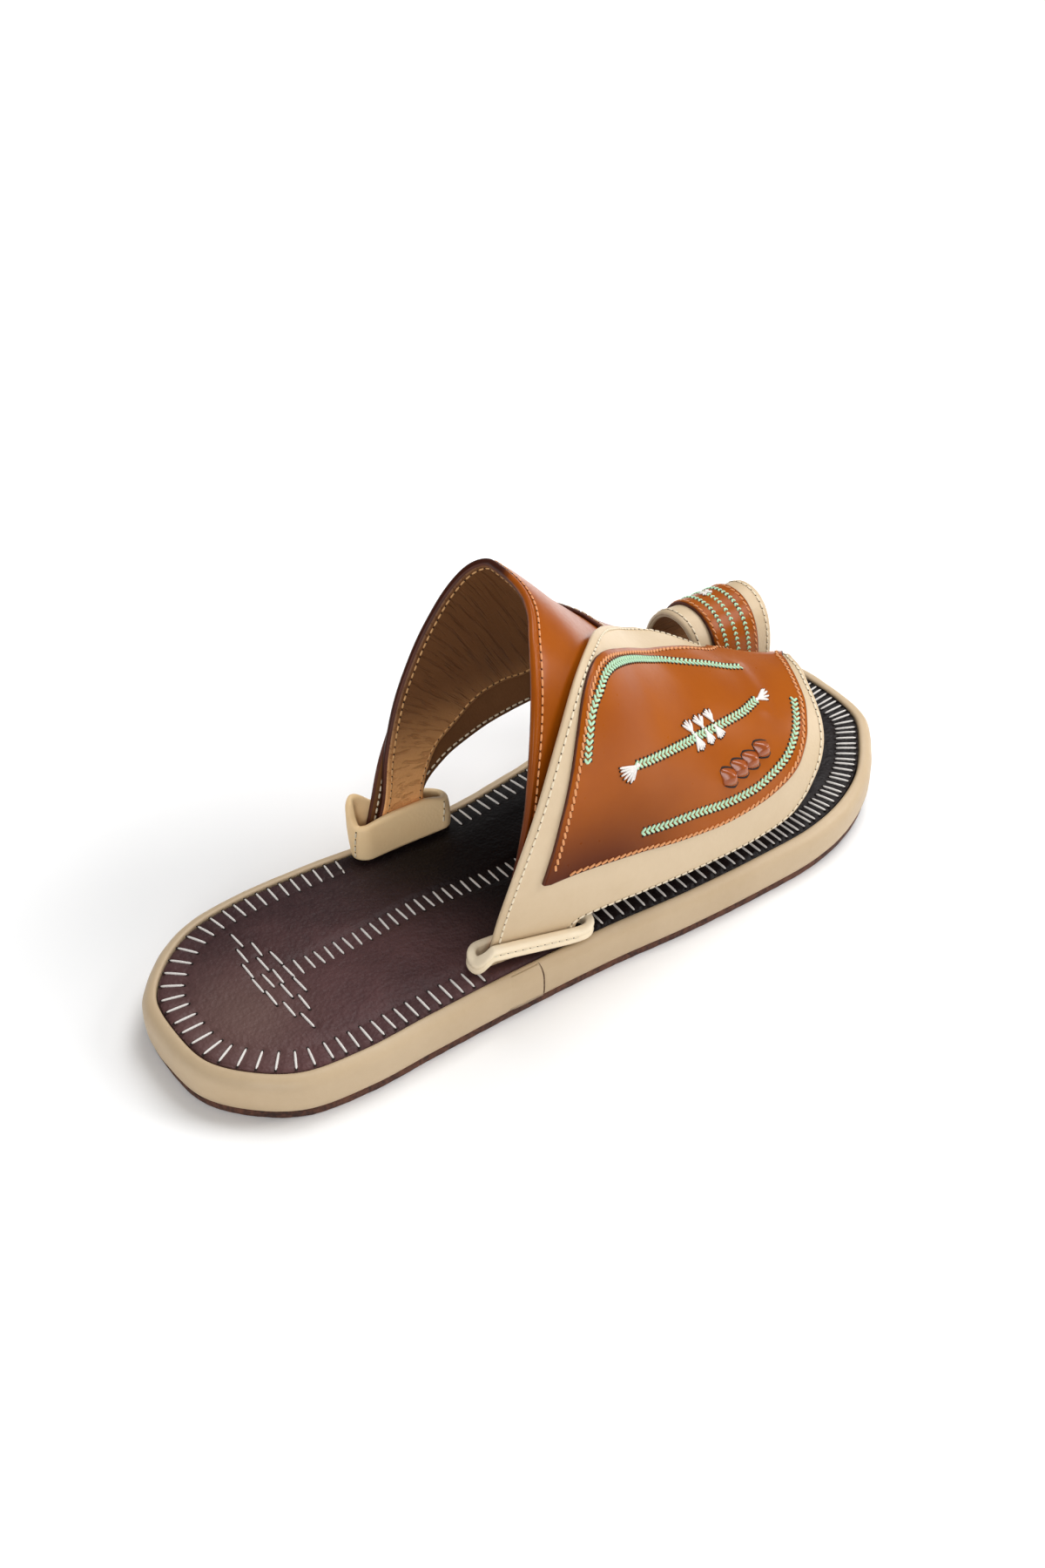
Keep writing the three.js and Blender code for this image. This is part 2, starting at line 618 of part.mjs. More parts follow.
addPiece('outsole', outsole(), 'roughLeather');
addPiece('midsole', midsole(), 'beige');
addPiece('insole', insole(), 'aubergine');
addPiece('upper', upper(), 'cognac');
addPiece('front_panel_overlay', strap(
  panelInset,
  (round) => panelLiftAt(round) + panelWall + seat,
  overlayWall,
  overlayFacets,
), 'cognac');
addPiece('toe_loop', loopSheet(0, loopLength, 0, 0, loopWall, loopFacets), 'beige');
addPiece('toe_loop_overlay', loopSheet(
  loopBandRear,
  loopBandFront,
  loopBandEnds,
  loopWall + seat,
  loopBandWall,
  loopBandFacets,
), 'cognac');
addPiece('keeper_inner', keeper(
  'inner',
  alongToY(innerKeeperRear),
  innerKeeperLength,
  underLift + underWall,
  () => innerKeeperHeight,
), 'beige');
addPiece('keeper_outer', keeper(
  'outer',
  alongToY(outerKeeperRear),
  outerKeeperLength,
  underLift + panelWall,
  (share) => THREE.MathUtils.lerp(outerKeeperHeight, outerKeeperFront, share),
), 'beige');

export default sandal;
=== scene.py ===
# %% [markdown]
# # An embroidered leather sandal
# This lesson dresses a imported model of a right sandal: a leather-wrapped platform, crossed straps, a front
# panel with embroidery, a loop for the big toe and two keepers. The imported model gives the sizes, so the
# first step loads it.

# %% Load the imported model
import math
import bmesh
import bpy
import numpy as np
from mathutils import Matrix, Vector


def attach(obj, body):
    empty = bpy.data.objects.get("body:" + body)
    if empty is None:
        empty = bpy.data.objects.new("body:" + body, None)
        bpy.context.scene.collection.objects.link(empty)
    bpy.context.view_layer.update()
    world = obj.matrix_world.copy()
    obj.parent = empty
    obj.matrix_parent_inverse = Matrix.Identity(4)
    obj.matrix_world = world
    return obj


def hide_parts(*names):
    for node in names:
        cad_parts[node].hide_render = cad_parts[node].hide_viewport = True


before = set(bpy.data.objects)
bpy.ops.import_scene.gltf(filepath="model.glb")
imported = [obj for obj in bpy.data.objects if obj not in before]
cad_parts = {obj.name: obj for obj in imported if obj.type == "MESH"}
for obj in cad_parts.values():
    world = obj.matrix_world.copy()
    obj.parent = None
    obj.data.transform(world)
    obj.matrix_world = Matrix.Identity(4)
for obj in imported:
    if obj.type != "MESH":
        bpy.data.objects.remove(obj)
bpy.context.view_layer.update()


# %% [markdown]
# The camera comes first, because every later choice is judged through it. A long way off and a fairly long
# lens keep the sole's sides nearly parallel. It looks down on the outer side from behind.

# %% The camera
EYE_PLACE, EYE_TARGET = (0.3529, -0.2675, 0.3834), (-0.04672, 0.02955, 0.0)
LENS, SENSOR_WIDTH = 38.578, 36


def aim(thing, target):
    """Turns a camera or a light so that it looks at a point."""
    direction = Vector(target) - thing.location
    thing.rotation_euler = direction.to_track_quat("-Z", "Y").to_euler()


eye = bpy.data.objects.new("eye", bpy.data.cameras.new("eye"))
eye.location = EYE_PLACE
aim(eye, EYE_TARGET)
eye.data.lens = LENS
eye.data.sensor_width = SENSOR_WIDTH
eye.data.clip_start = 0.01
bpy.context.scene.collection.objects.link(eye)
bpy.context.scene.camera = eye
steepness = EYE_PLACE[2] / math.dist(EYE_PLACE, EYE_TARGET)
print("camera looks down by", round(math.degrees(math.asin(steepness)), 1), "degrees")

# %% [markdown]
# The sandal stands in soft studio light on a white table. A panel overhead gives the broad highlights along
# the leather, one beyond the toe leaves the heel darker, and one beside the camera opens the shadows. Away
# from the sandal the paper glows, so that it stays white to the edge of the picture.

# %% The table and the lights
# Each light: its name, place and target in metres, the side of its square panel, and its power in watts
LIGHTS = [
    ("overhead", (-0.15, 0.42, 0.95), (0, 0, 0.03), 0.6, 7.2),
    ("toe_side", (0.5, 0.85, 0.7), (0, 0.05, 0.03), 0.45, 6.0),
    ("beside_camera", (0.78, -0.82, 0.5), (0, 0, 0.03), 0.5, 5.0),
]
ROOM_LIGHT = 0.25
# The paper's glow grows from none to full between these distances from the middle, in metres
GLOW_START, GLOW_END, GLOW_STRENGTH = 0.1, 0.42, 0.8

table_mesh = bmesh.new()
bmesh.ops.create_grid(table_mesh, x_segments=1, y_segments=1, size=6)
table_data = bpy.data.meshes.new("table")
table_mesh.to_mesh(table_data)
table_mesh.free()
table = bpy.data.objects.new("table", table_data)
bpy.context.scene.collection.objects.link(table)
paper = bpy.data.materials.new("white_paper")
paper.use_nodes = True
sheet = paper.node_tree.nodes["Principled BSDF"]
sheet.inputs["Base Color"].default_value = (0.98, 0.98, 0.98, 1)
sheet.inputs["Roughness"].default_value = 0.9
sheet.inputs["Emission Strength"].default_value = GLOW_STRENGTH
nodes, join = paper.node_tree.nodes, paper.node_tree.links.new
spot, distance, glow = (nodes.new("ShaderNode" + kind) for kind in ("TexCoord", "VectorMath", "MapRange"))
distance.operation, glow.interpolation_type = "LENGTH", "SMOOTHSTEP"
glow.inputs["From Min"].default_value, glow.inputs["From Max"].default_value = GLOW_START, GLOW_END
join(spot.outputs["Object"], distance.inputs[0])
join(distance.outputs["Value"], glow.inputs["Value"])
join(glow.outputs["Result"], sheet.inputs["Emission Color"])
table_data.materials.append(paper)

for name, place, target, size, power in LIGHTS:
    lamp = bpy.data.objects.new(name, bpy.data.lights.new(name, "AREA"))
    lamp.data.shape = "RECTANGLE"
    lamp.data.size = lamp.data.size_y = size
    lamp.data.energy = power
    lamp.location = place
    aim(lamp, target)
    bpy.context.scene.collection.objects.link(lamp)
world = bpy.data.worlds.new("white_room")
world.use_nodes = True
world.node_tree.nodes["Background"].inputs["Color"].default_value = (1, 1, 1, 1)
world.node_tree.nodes["Background"].inputs["Strength"].default_value = ROOM_LIGHT
bpy.context.scene.world = world
bpy.context.scene.view_settings.view_transform = "Standard"

# %% [markdown]
# Everything on the sandal is placed from a few named sizes and tables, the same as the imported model's. A
# table holds a smooth curve as a few rows, so one function that reads tables draws every curve here.

# %% Named sizes in millimetres
SOLE_LENGTH, BALL_WIDTH = 288, 108
OUTSOLE_THICKNESS = 2.9
RIM_HEIGHT, RIM_WIDTH, RIM_ROUNDING = 15.5, 4.7, 5
INSOLE_HEIGHT = 16.1
TOE_SPRING, SPRING_START = 8.6, 0.743
INSTEP_HEIGHT = 104
SEAT = 0.3
PAD_INSET, PAD_UNDERSIDE = RIM_WIDTH + SEAT, 13.1


def follow(keys, values, at):
    """Reads a smooth curve through a table's rows, at one number or many."""
    keys, values = np.asarray(keys, float), np.asarray(values, float)
    at = np.clip(at, keys[0], keys[-1])
    row = np.clip(np.searchsorted(keys[1:], at), 0, len(keys) - 2)
    near = np.clip(np.arange(-1, len(keys) + 1), 0, len(keys) - 1)
    slope = (values[near[2:]] - values[near[:-2]]) / (keys[near[2:]] - keys[near[:-2]])
    span = keys[row + 1] - keys[row]
    share = (at - keys[row]) / span
    square, cube = share**2, share**3
    return (
        (2 * cube - 3 * square + 1) * values[row]
        + (cube - 2 * square + share) * span * slope[row]
        + (3 * square - 2 * cube) * values[row + 1]
        + (cube - square) * span * slope[row + 1]
    )


def soft_step(low, high, value):
    share = np.clip((np.asarray(value, float) - low) / (high - low), 0, 1)
    return share * share * (3 - 2 * share)


def along_to_y(along):
    return (along - 0.5) * SOLE_LENGTH


def spring(y):
    """How far the toe spring lifts the sole at a place along the shoe."""
    share = np.maximum(0, (np.asarray(y, float) / SOLE_LENGTH + 0.5 - SPRING_START) / (1 - SPRING_START))
    return TOE_SPRING * share**2


print("toe spring at the tip:", float(spring(SOLE_LENGTH / 2)), "mm")

# %% [markdown]
# The straps lie on an arch that stands over the insole like the top of a foot. Each row below is one cut
# across it: how far along the shoe, where its crest is, how high it rises, where its two feet stand and how
# far its sides belly out. A place on it is a share of the way round and a distance along the shoe.

# %% The arch under the straps
ARCH = np.array([
    (0.292, -0.09, 1.09, -0.259, 0.31, 0.06, 0.085),
    (0.361, -0.12, 1.09, -0.259, 0.338, 0.065, 0.072),
    (0.431, -0.16, 1.045, -0.25, 0.366, 0.07, 0.05),
    (0.5, -0.185, 0.94, -0.25, 0.39, 0.065, 0.034),
    (0.569, -0.176, 0.75, -0.259, 0.4, 0.06, 0.018),
    (0.639, -0.148, 0.585, -0.24, 0.404, 0.05, 0.006),
    (0.708, -0.105, 0.485, -0.17, 0.403, 0.03, 0),
    (0.778, -0.035, 0.375, -0.065, 0.394, 0.005, 0),
    (0.847, 0.04, 0.3, -0.02, 0.372, 0, 0),
    (0.917, 0.075, 0.24, -0.01, 0.325, 0, 0),
    (0.986, 0.1, 0.175, 0, 0.275, 0, 0),
])
INNER_FULLNESS, OUTER_FULLNESS, RISE_FULLNESS = 0.85, 0.8, 0.95
# The arch has no clear direction right at its feet, so it is read no nearer to them than this share
FOOT_SHARE = 0.002


def arch(crest, rise, inner, outer, inner_belly, outer_belly, turn, y):
    """Points of an arch: turn is 0 at its inner foot and 1 at its outer foot."""
    angle = turn * np.pi
    cosine = np.cos(angle)
    reach = np.where(
        cosine > 0,
        (inner - crest) * np.abs(cosine) ** INNER_FULLNESS - inner_belly * np.sin(2 * angle),
        (outer - crest) * np.abs(cosine) ** OUTER_FULLNESS - outer_belly * np.sin(2 * angle),
    )
    height = rise * np.maximum(0, np.sin(angle)) ** RISE_FULLNESS
    return np.stack([crest + reach, y, INSOLE_HEIGHT + spring(y) + SEAT + height], -1)


def foot_top(turn, y):
    """The arch over the foot, from the table; all but the rise are shares of the ball's width."""
    along = y / SOLE_LENGTH + 0.5
    crest, rise, *rest = (follow(ARCH[:, 0], ARCH[:, column], along) for column in range(1, 7))
    return arch(crest * BALL_WIDTH, rise * INSTEP_HEIGHT, *(share * BALL_WIDTH for share in rest), turn, y)


LOOP_REAR = 0.797
LOOP = {"middle": -30.78, "rear": along_to_y(LOOP_REAR), "length": 37, "width": 32, "height": 42,
        "taper": 0.86, "drop": 0.92, "belly": 2.88}


def toe_top(turn, y):
    """The narrow arch of the big toe's loop."""
    share = (y - LOOP["rear"]) / LOOP["length"]
    half = LOOP["width"] / 2 * (1 + (LOOP["taper"] - 1) * share) - LOOP["belly"]
    height = LOOP["height"] * (1 + (LOOP["drop"] - 1) * share)
    middle, belly = LOOP["middle"], LOOP["belly"]
    return arch(middle, height, middle - half, middle + half, belly, belly, turn, y)


def inside_feet(turn):
    return np.clip(turn, FOOT_SHARE, 1 - FOOT_SHARE)


def normal_on(surface, turn, y):
    turn = inside_feet(turn)
    round_step = surface(turn + FOOT_SHARE, y) - surface(turn - FOOT_SHARE, y)
    long_step = surface(turn, y + 0.5) - surface(turn, y - 0.5)
    normal = np.cross(round_step, long_step)
    return normal / np.linalg.norm(normal, axis=-1, keepdims=True)


def over(surface, turn, y, lift):
    """Points raised square from an arch by lift, never below the insole."""
    turn, y, lift = np.broadcast_arrays(*(np.asarray(value, float) for value in (turn, y, lift)))
    inside = inside_feet(turn)
    points = surface(inside, y) + normal_on(surface, inside, y) * lift[..., None]
    just_over_insole = INSOLE_HEIGHT + spring(points[..., 1]) + 0.05
    points[..., 2] = np.maximum(points[..., 2], just_over_insole)
    return points


print("top of the arch at the instep:", round(float(foot_top(0.5, np.float64(0))[2]), 1), "mm over the floor")

# %% [markdown]
# Leather never has one flat colour. Each finish below mixes two tones by a slow noise, adds fine pores by a
# cell pattern, and lets its gloss follow the pores. Shader maths reads best as plain sums, so one small class
# wraps a node's output and gives it the usual operators.

# %% Shader maths
class Wire:
    """One output of a shader node. Arithmetic on it adds Math nodes."""

    def __init__(self, finish, socket):
        self.finish, self.socket = finish, socket

    def maths(self, operation, *values):
        return self.finish.node("ShaderNodeMath", {"operation": operation}, dict(enumerate(values)))

    def __add__(self, other):
        return self.maths("ADD", self, other)

    def __sub__(self, other):
        return self.maths("SUBTRACT", self, other)

    def __rsub__(self, other):
        return self.maths("SUBTRACT", other, self)

    def __mul__(self, other):
        return self.maths("MULTIPLY", self, other)

    __radd__, __rmul__ = __add__, __mul__


class Finish:
    """A material in the making: node() adds any node, and the other methods are short ways to common ones."""

    def __init__(self, name, **constants):
        self.material = bpy.data.materials.new(name)
        self.material.use_nodes = True
        self.tree = self.material.node_tree
        self.shader = self.tree.nodes["Principled BSDF"]
        for socket, value in constants.items():
            self.shader.inputs[socket.replace("_", " ")].default_value = value

    def node(self, kind, settings=None, sockets=None, output=0):
        new = self.tree.nodes.new(kind)
        for name, value in (settings or {}).items():
            setattr(new, name, value)
        for key, value in (sockets or {}).items():
            if isinstance(value, Wire):
                self.tree.links.new(value.socket, new.inputs[key])
            else:
                new.inputs[key].default_value = value
        return Wire(self, new.outputs[output])

    def place(self):
        return self.node("ShaderNodeTexCoord", output=3)

    def along(self):
        return self.node("ShaderNodeUVMap", {"uv_map": "surface"})

    def stretched(self, place, scale):
        return self.node("ShaderNodeMapping", sockets={"Vector": place, "Scale": scale})

    def noise(self, place, scale, detail=3.0):
        return self.node("ShaderNodeTexNoise", sockets={"Vector": place, "Scale": scale, "Detail": detail})

    def cells(self, place, scale):
        return self.node("ShaderNodeTexVoronoi", {"feature": "F1"}, {"Vector": place, "Scale": scale})

    def marked(self, name):
        return self.node("ShaderNodeAttribute", {"attribute_name": name}, output=2)

    def blend(self, share, first, second):
        sockets = {0: share, 6: first, 7: second}
        return self.node("ShaderNodeMix", {"data_type": "RGBA"}, sockets, output=2)

    def window(self, value, low, high):
        return self.node("ShaderNodeMapRange", {"interpolation_type": "SMOOTHSTEP"},
                         {"Value": value, "From Min": low, "From Max": high})

    def connect(self, **wires):
        for socket, wire in wires.items():
            self.tree.links.new(wire.socket, self.shader.inputs[socket.replace("_", " ")])

    def relief(self, height, distance):
        self.connect(Normal=self.node("ShaderNodeBump", sockets={"Height": height, "Distance": distance}))


def shade(red, green, blue):
    """A colour as seen on a screen, as the light values that the shader needs."""
    channels = (value / 255 for value in (red, green, blue))
    linear = [value / 12.92 if value <= 0.04045 else ((value + 0.055) / 1.055) ** 2.4 for value in channels]
    return (*linear, 1)


print("mid grey in light values:", round(shade(128, 128, 128)[0], 3))

# %% [markdown]
# Smooth leather has three scales at once: clouds of colour a few centimetres wide, a soft waviness of a few
# millimetres, and pores well under a millimetre. Cut edges are darker, so every strap stores how near each
# point is to its edge, and the colour reads that.

# %% Leather finishes
GRAIN, PORES, WAVES = 420, 900, 130


def leather(name, tone, deep, gloss, depth, coat=0.0, edge=None, clouds=30, shine=0.4, low_tone=None):
    """Tones are given as seen on a screen, and depth is the height of the grain in metres."""
    finish = Finish(name, Coat_Weight=coat, Coat_Roughness=0.22, Specular_IOR_Level=shine)
    place = finish.place()
    cloud = finish.window(finish.noise(place, clouds, 4), 0.3, 0.75)
    speck = finish.noise(place, GRAIN, 4)
    pore = finish.cells(place, PORES)
    colour = finish.blend(cloud * 0.75 + speck * 0.25, shade(*tone), shade(*deep))
    if low_tone is not None:
        colour = finish.blend(finish.marked("darker_low"), colour, shade(*low_tone))
        finish.connect(Coat_Weight=(1 - finish.marked("darker_low")) * coat)
    if edge is not None:
        # The edge mark darkens cut edges; on the instep strap it also carries painted shade on the bead's
        # inner side.
        edge_wear_and_shade = finish.window(finish.marked("edge") + speck * 0.3, 0.55, 1.1)
        colour = finish.blend(edge_wear_and_shade, colour, shade(*edge))
    finish.connect(Base_Color=colour, Roughness=gloss + speck * 0.14 - pore * 0.06)
    finish.relief(pore * 0.55 + speck * 0.45 + finish.noise(place, WAVES, 2) * 0.8, depth)
    return finish.material


beige = leather("beige_leather", (212, 190, 158), (197, 172, 137), 0.42, 0.00006, edge=(160, 128, 92))
# Painted light: the keepers are of the panel's beige leather, given brighter tones where they catch the
# light.
lit_keeper_tan = leather("keeper_leather_lit_tan", (255, 226, 178), (244, 208, 156), 0.42, 0.00008)
lit_keeper_pale = leather("keeper_leather_lit_pale", (250, 236, 208), (242, 222, 190), 0.42, 0.00008)
wrap_beige = leather("wrap_leather", (202, 179, 147), (186, 161, 127), 0.44, 0.00007, clouds=18)
cognac = leather("cognac_leather", (164, 84, 12), (148, 71, 7), 0.28, 0.000006,
                 coat=0.1, edge=(60, 25, 13), shine=0.1, low_tone=(62, 14, 0))
brown = leather("brown_leather", (150, 76, 26), (126, 60, 20), 0.3, 0.00001,
                coat=0.1, edge=(58, 27, 16), shine=0.3)
dark_edge = leather("dark_edge", (92, 42, 21), (62, 28, 15), 0.6, 0.00012)
lozenge_leather = leather("lozenge_leather", (160, 78, 24), (140, 64, 16), 0.2, 0.000006, coat=0.45,
                          shine=0.35)
olive_lining = leather("olive_lining", (124, 82, 46), (100, 64, 36), 0.55, 0.00008, shine=0.25)

print("leathers:", [material.name for material in bpy.data.materials if "leather" in material.name])

# %% [markdown]
# Three leathers need more. The lining is soft split leather that wrinkles across the strap, with painted
# shade in its creases and towards the top of the arch. The insole is dark polished leather of an aubergine
# tone, with painted shade that turns it near black under the straps and a painted highlight at the heel. The
# outsole is rough, with an open fibre that shows at its edge.

# %% Lining, insole and outsole finishes
def wrinkled_lining():
    finish = Finish("tan_lining", Specular_IOR_Level=0.3)
    place, flat = finish.place(), finish.along()
    sway = finish.noise(place, 45, 2)
    creases = finish.noise(finish.stretched(flat, (520, 42, 1)), 1.0, 3)
    crease = finish.window(creases, 0.5, 0.66)
    pore = finish.cells(place, 1100)
    # Painted shade: the creases darken the lining's colour as well as its relief.
    colour = finish.blend(crease * 0.4 + sway * 0.3, shade(246, 182, 118), shade(192, 130, 76))
    colour = finish.blend(finish.marked("shadowed") * 0.9, colour, shade(84, 47, 22))
    finish.connect(Base_Color=colour, Roughness=0.6 - pore * 0.1)
    finish.relief(pore * 0.2 - crease * 1.0 + sway * 0.4, 0.0003)
    return finish.material


def polished_insole():
    finish = Finish("insole_leather", Coat_Weight=0.03, Coat_Roughness=0.3, Specular_IOR_Level=0.17)
    place = finish.place()
    cloud = finish.window(finish.noise(place, 22, 5), 0.32, 0.7)
    speck = finish.noise(place, GRAIN, 5)
    pore = finish.cells(place, 800)
    tone = finish.blend(cloud * 0.55 + speck * 0.45, shade(46, 28, 30), shade(98, 66, 66))
    # Painted highlight lightens the insole at the heel, and painted shade turns it near black under the
    # straps.
    tone = finish.blend(finish.marked("heel_sheen"), tone, shade(104, 80, 74))
    tone = finish.blend(finish.marked("strap_shade"), tone, shade(5, 4, 4))
    finish.connect(Base_Color=tone, Roughness=0.36 + speck * 0.26)
    finish.relief(pore * 0.5 + speck * 1.2 + finish.noise(place, 90, 3) * 1.6, 0.00036)
    return finish.material


def rough_outsole():
    finish = Finish("outsole_leather")
    place = finish.place()
    fibre = finish.noise(place, 650, 6)
    patch = finish.noise(place, 60, 3)
    share = finish.window(fibre * 0.6 + patch * 0.4, 0.35, 0.65)
    tone = finish.blend(share, shade(52, 28, 20), shade(104, 64, 47))
    finish.connect(Base_Color=tone, Roughness=0.7 + fibre * 0.25)
    finish.relief(fibre + patch * 0.5, 0.0005)
    return finish.material


tan_lining, insole_leather, outsole_leather = wrinkled_lining(), polished_insole(), rough_outsole()
print("special leathers:", tan_lining.name, insole_leather.name, outsole_leather.name)

# %% [markdown]
# Thread is a bundle of bright fibres with a slight lustre. Its colour is nearly even, so a little noise and
# a fine relief are enough at this size. The holes of the awl are dark in the same plain way, their shade
# painted as colour.

# %% Thread finishes
def thread(name, tone, deep, gloss=0.5):
    finish = Finish(name)
    fibre = finish.noise(finish.place(), 2600, 3)
    finish.connect(Base_Color=finish.blend(fibre, shade(*tone), shade(*deep)), Roughness=gloss + fibre * 0.2)
    finish.relief(fibre, 0.0001)
    return finish.material


white_thread = thread("white_thread", (248, 244, 238), (206, 200, 195))
cream_thread = thread("cream_thread", (246, 234, 210), (210, 192, 160))
tan_thread = thread("tan_thread", (232, 184, 124), (176, 124, 74))
orange_thread = thread("orange_thread", (240, 172, 114), (190, 116, 62))
mint_thread = thread("mint_thread", (206, 238, 208), (150, 204, 162))
hole_shade = thread("hole_shade", (40, 24, 18), (24, 14, 10), 0.8)
print("threads:", [material.name for material in bpy.data.materials if material.name.endswith("thread")])

# %% [markdown]
# Every soft form on the sandal is a sheet of quads laid over a curved surface, or a closed band whose cross
# section has thickness and rounded edges. Both begin as a flat grid, which keeps a map of the leather for
# the finishes, and are then moved point by point to their place.

# %% Sheets, bands and pieces
MM = 0.001


def grid_shares(mesh):
    shares = np.array([vert.co[:2] for vert in mesh.verts])
    low, high = shares.min(0), shares.max(0)
    return (shares - low) / (high - low)


def laid_grid(columns, rows, place, size=(1, 1), paint=None):
    """A grid moved to place(u, v), which gives millimetres; its map holds u and v times size in metres."""
    mesh = bmesh.new()
    bmesh.ops.create_grid(mesh, x_segments=columns, y_segments=rows, size=1)
    shares = grid_shares(mesh)
    flat = mesh.loops.layers.uv.new("surface")
    mesh.verts.index_update()
    for face in mesh.faces:
        if paint is not None:
            face.material_index = int(paint[int(np.mean([shares[v.index, 1] for v in face.verts]) * rows)])
        for loop in face.loops:
            loop[flat].uv = shares[loop.vert.index] * size
    for vert, point in zip(mesh.verts, place(shares[:, 0], shares[:, 1]) * MM):
        vert.co = point
    return mesh


def closed_up(mesh):
    """Merges seams, fills the open ends and turns every face outwards."""
    bmesh.ops.remove_doubles(mesh, verts=mesh.verts, dist=2e-6)
    open_edges = [edge for edge in mesh.edges if edge.is_boundary]
    if open_edges:
        bmesh.ops.holes_fill(mesh, edges=open_edges, sides=0)
    bmesh.ops.recalc_face_normals(mesh, faces=mesh.faces)
    return mesh


def piece(name, mesh, finishes, replaces=(), marks=None):
    """Turns a bmesh into a smooth object that rides with the sandal."""
    for face in mesh.faces:
        face.smooth = True
    data = bpy.data.meshes.new(name)
    mesh.to_mesh(data)
    mesh.free()
    for finish in finishes:
        data.materials.append(finish)
    for mark, rule in (marks or {}).items():
        points = np.array([vert.co for vert in data.vertices]) / MM
        values = np.ascontiguousarray(rule(points), np.float32)
        data.attributes.new(mark, "FLOAT", "POINT").data.foreach_set("value", values)
    made = bpy.data.objects.new(name, data)
    bpy.context.scene.collection.objects.link(made)
    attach(made, "root")
    if replaces:
        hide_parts(*replaces)
    triangles = sum(len(face.vertices) - 2 for face in data.polygons)
    print(f"{name}: {triangles} triangles")


# %% [markdown]
# A stitch is a short round of thread with its ends pulled into the leather, and beside it is the hole that
# the awl made. Each is one small ball of a few dozen faces, stretched to a capsule. Rows of stitches are
# kept as plain lists, so that one mesh can be made of a whole row and its holes can be found from it.

# %% Stitches
def unit(vectors):
    return vectors / np.maximum(np.linalg.norm(vectors, axis=-1, keepdims=True), 1e-9)


def small_ball(sides, rings, blunt):
    """The points and faces of a ball along z, its ends blunted."""
    ball = bmesh.new()
    bmesh.ops.create_uvsphere(ball, u_segments=sides, v_segments=rings, radius=1)
    points = np.array([vert.co for vert in ball.verts])
    points[:, 2] = np.copysign(np.abs(points[:, 2]) ** blunt, points[:, 2])
    corners = [[vert.index for vert in face.verts] for face in ball.faces]
    faces = np.array([face + [-1] * (4 - len(face)) for face in corners])
    ball.free()
    return points, faces


CAPSULE, HOLE = small_ball(8, 6, 0.42), small_ball(6, 4, 1)


def threads(stitches, ball=CAPSULE):
    """One mesh of many balls; a stitch is (centre, direction, normal, length, width, height)."""
    points, faces = ball
    placed = [
        centre + points @ np.array([np.cross(normal, along) * width, normal * height, along * length]) / 2
        for centre, along, normal, length, width, height in stitches
    ]
    numbered = [[corner + row * len(points) for corner in face if corner >= 0]
                for row in range(len(stitches)) for face in faces.tolist()]
    data = bpy.data.meshes.new("stitches")
    data.from_pydata(np.concatenate(placed) * MM, [], numbered)
    mesh = bmesh.new()
    mesh.from_mesh(data)
    bpy.data.meshes.remove(data)
    return mesh


def holes_of(stitches, size=0.5, both=False):
    """A dark hole at the end of every stitch, or at both its ends: painted shade of the hollow."""
    ends = (-1, 1) if both else (1,)
    past_end, below, deep = 0.12, 0.1, 0.42
    return [(centre + along * (length / 2 + past_end) * end - normal * below, along, normal, size, size, deep)
            for centre, along, normal, length, _, _ in stitches for end in ends]


def stepped(points, pitch):
    """Places at equal steps along a fine line: their points, directions and row numbers."""
    steps = np.linalg.norm(np.diff(points, axis=0), axis=1)
    length = np.concatenate([[0], np.cumsum(steps)])
    count = max(1, int(length[-1] / pitch))
    wanted = (np.arange(count) + 0.5) * length[-1] / count
    centre, ahead, behind = (
        np.stack([np.interp(wanted + shift, length, points[:, axis]) for axis in range(3)], -1)
        for shift in (0, 0.3, -0.3)
    )
    return centre, unit(ahead - behind), np.interp(wanted, length, np.arange(len(points)))


def sew(points, normals, pitch, length, width, height, turned=0.0, sideways=0.0):
    """A row of stitches along a line; turned leans each one, sideways moves the row square to the line."""
    row = []
    for centre, direction, number in zip(*stepped(points, pitch)):
        normal = unit(normals[int(number)])
        side = np.cross(normal, direction)
        leaning = unit(direction * math.cos(turned) + side * math.sin(turned))
        row.append((centre + side * sideways, leaning, normal, length, width, height))
    return row


all_holes = []
print("one stitch has", len(CAPSULE[1]), "faces")

# %% [markdown]
# The sole is drawn by its outline, a smooth closed curve through a few measured points on each side. The
# platform, insole and outsole all follow it, each set in by its own amount.

# %% The outline of the sole
INNER_SIDE = [(0.0075, -0.12), (0.041, -0.245), (0.094, -0.343), (0.16, -0.38), (0.257, -0.379),
              (0.361, -0.354), (0.465, -0.352), (0.569, -0.389), (0.674, -0.439), (0.771, -0.481),
              (0.837, -0.5), (0.889, -0.477), (0.941, -0.417), (0.982, -0.296), (0.998, -0.176)]
OUTER_SIDE = [(0.0075, 0.208), (0.038, 0.329), (0.087, 0.426), (0.16, 0.459), (0.24, 0.457),
              (0.361, 0.457), (0.483, 0.468), (0.587, 0.491), (0.708, 0.5), (0.795, 0.493),
              (0.858, 0.458), (0.91, 0.394), (0.953, 0.296), (0.986, 0.185), (0.997, 0.074)]
SIDE_STEPS = 230


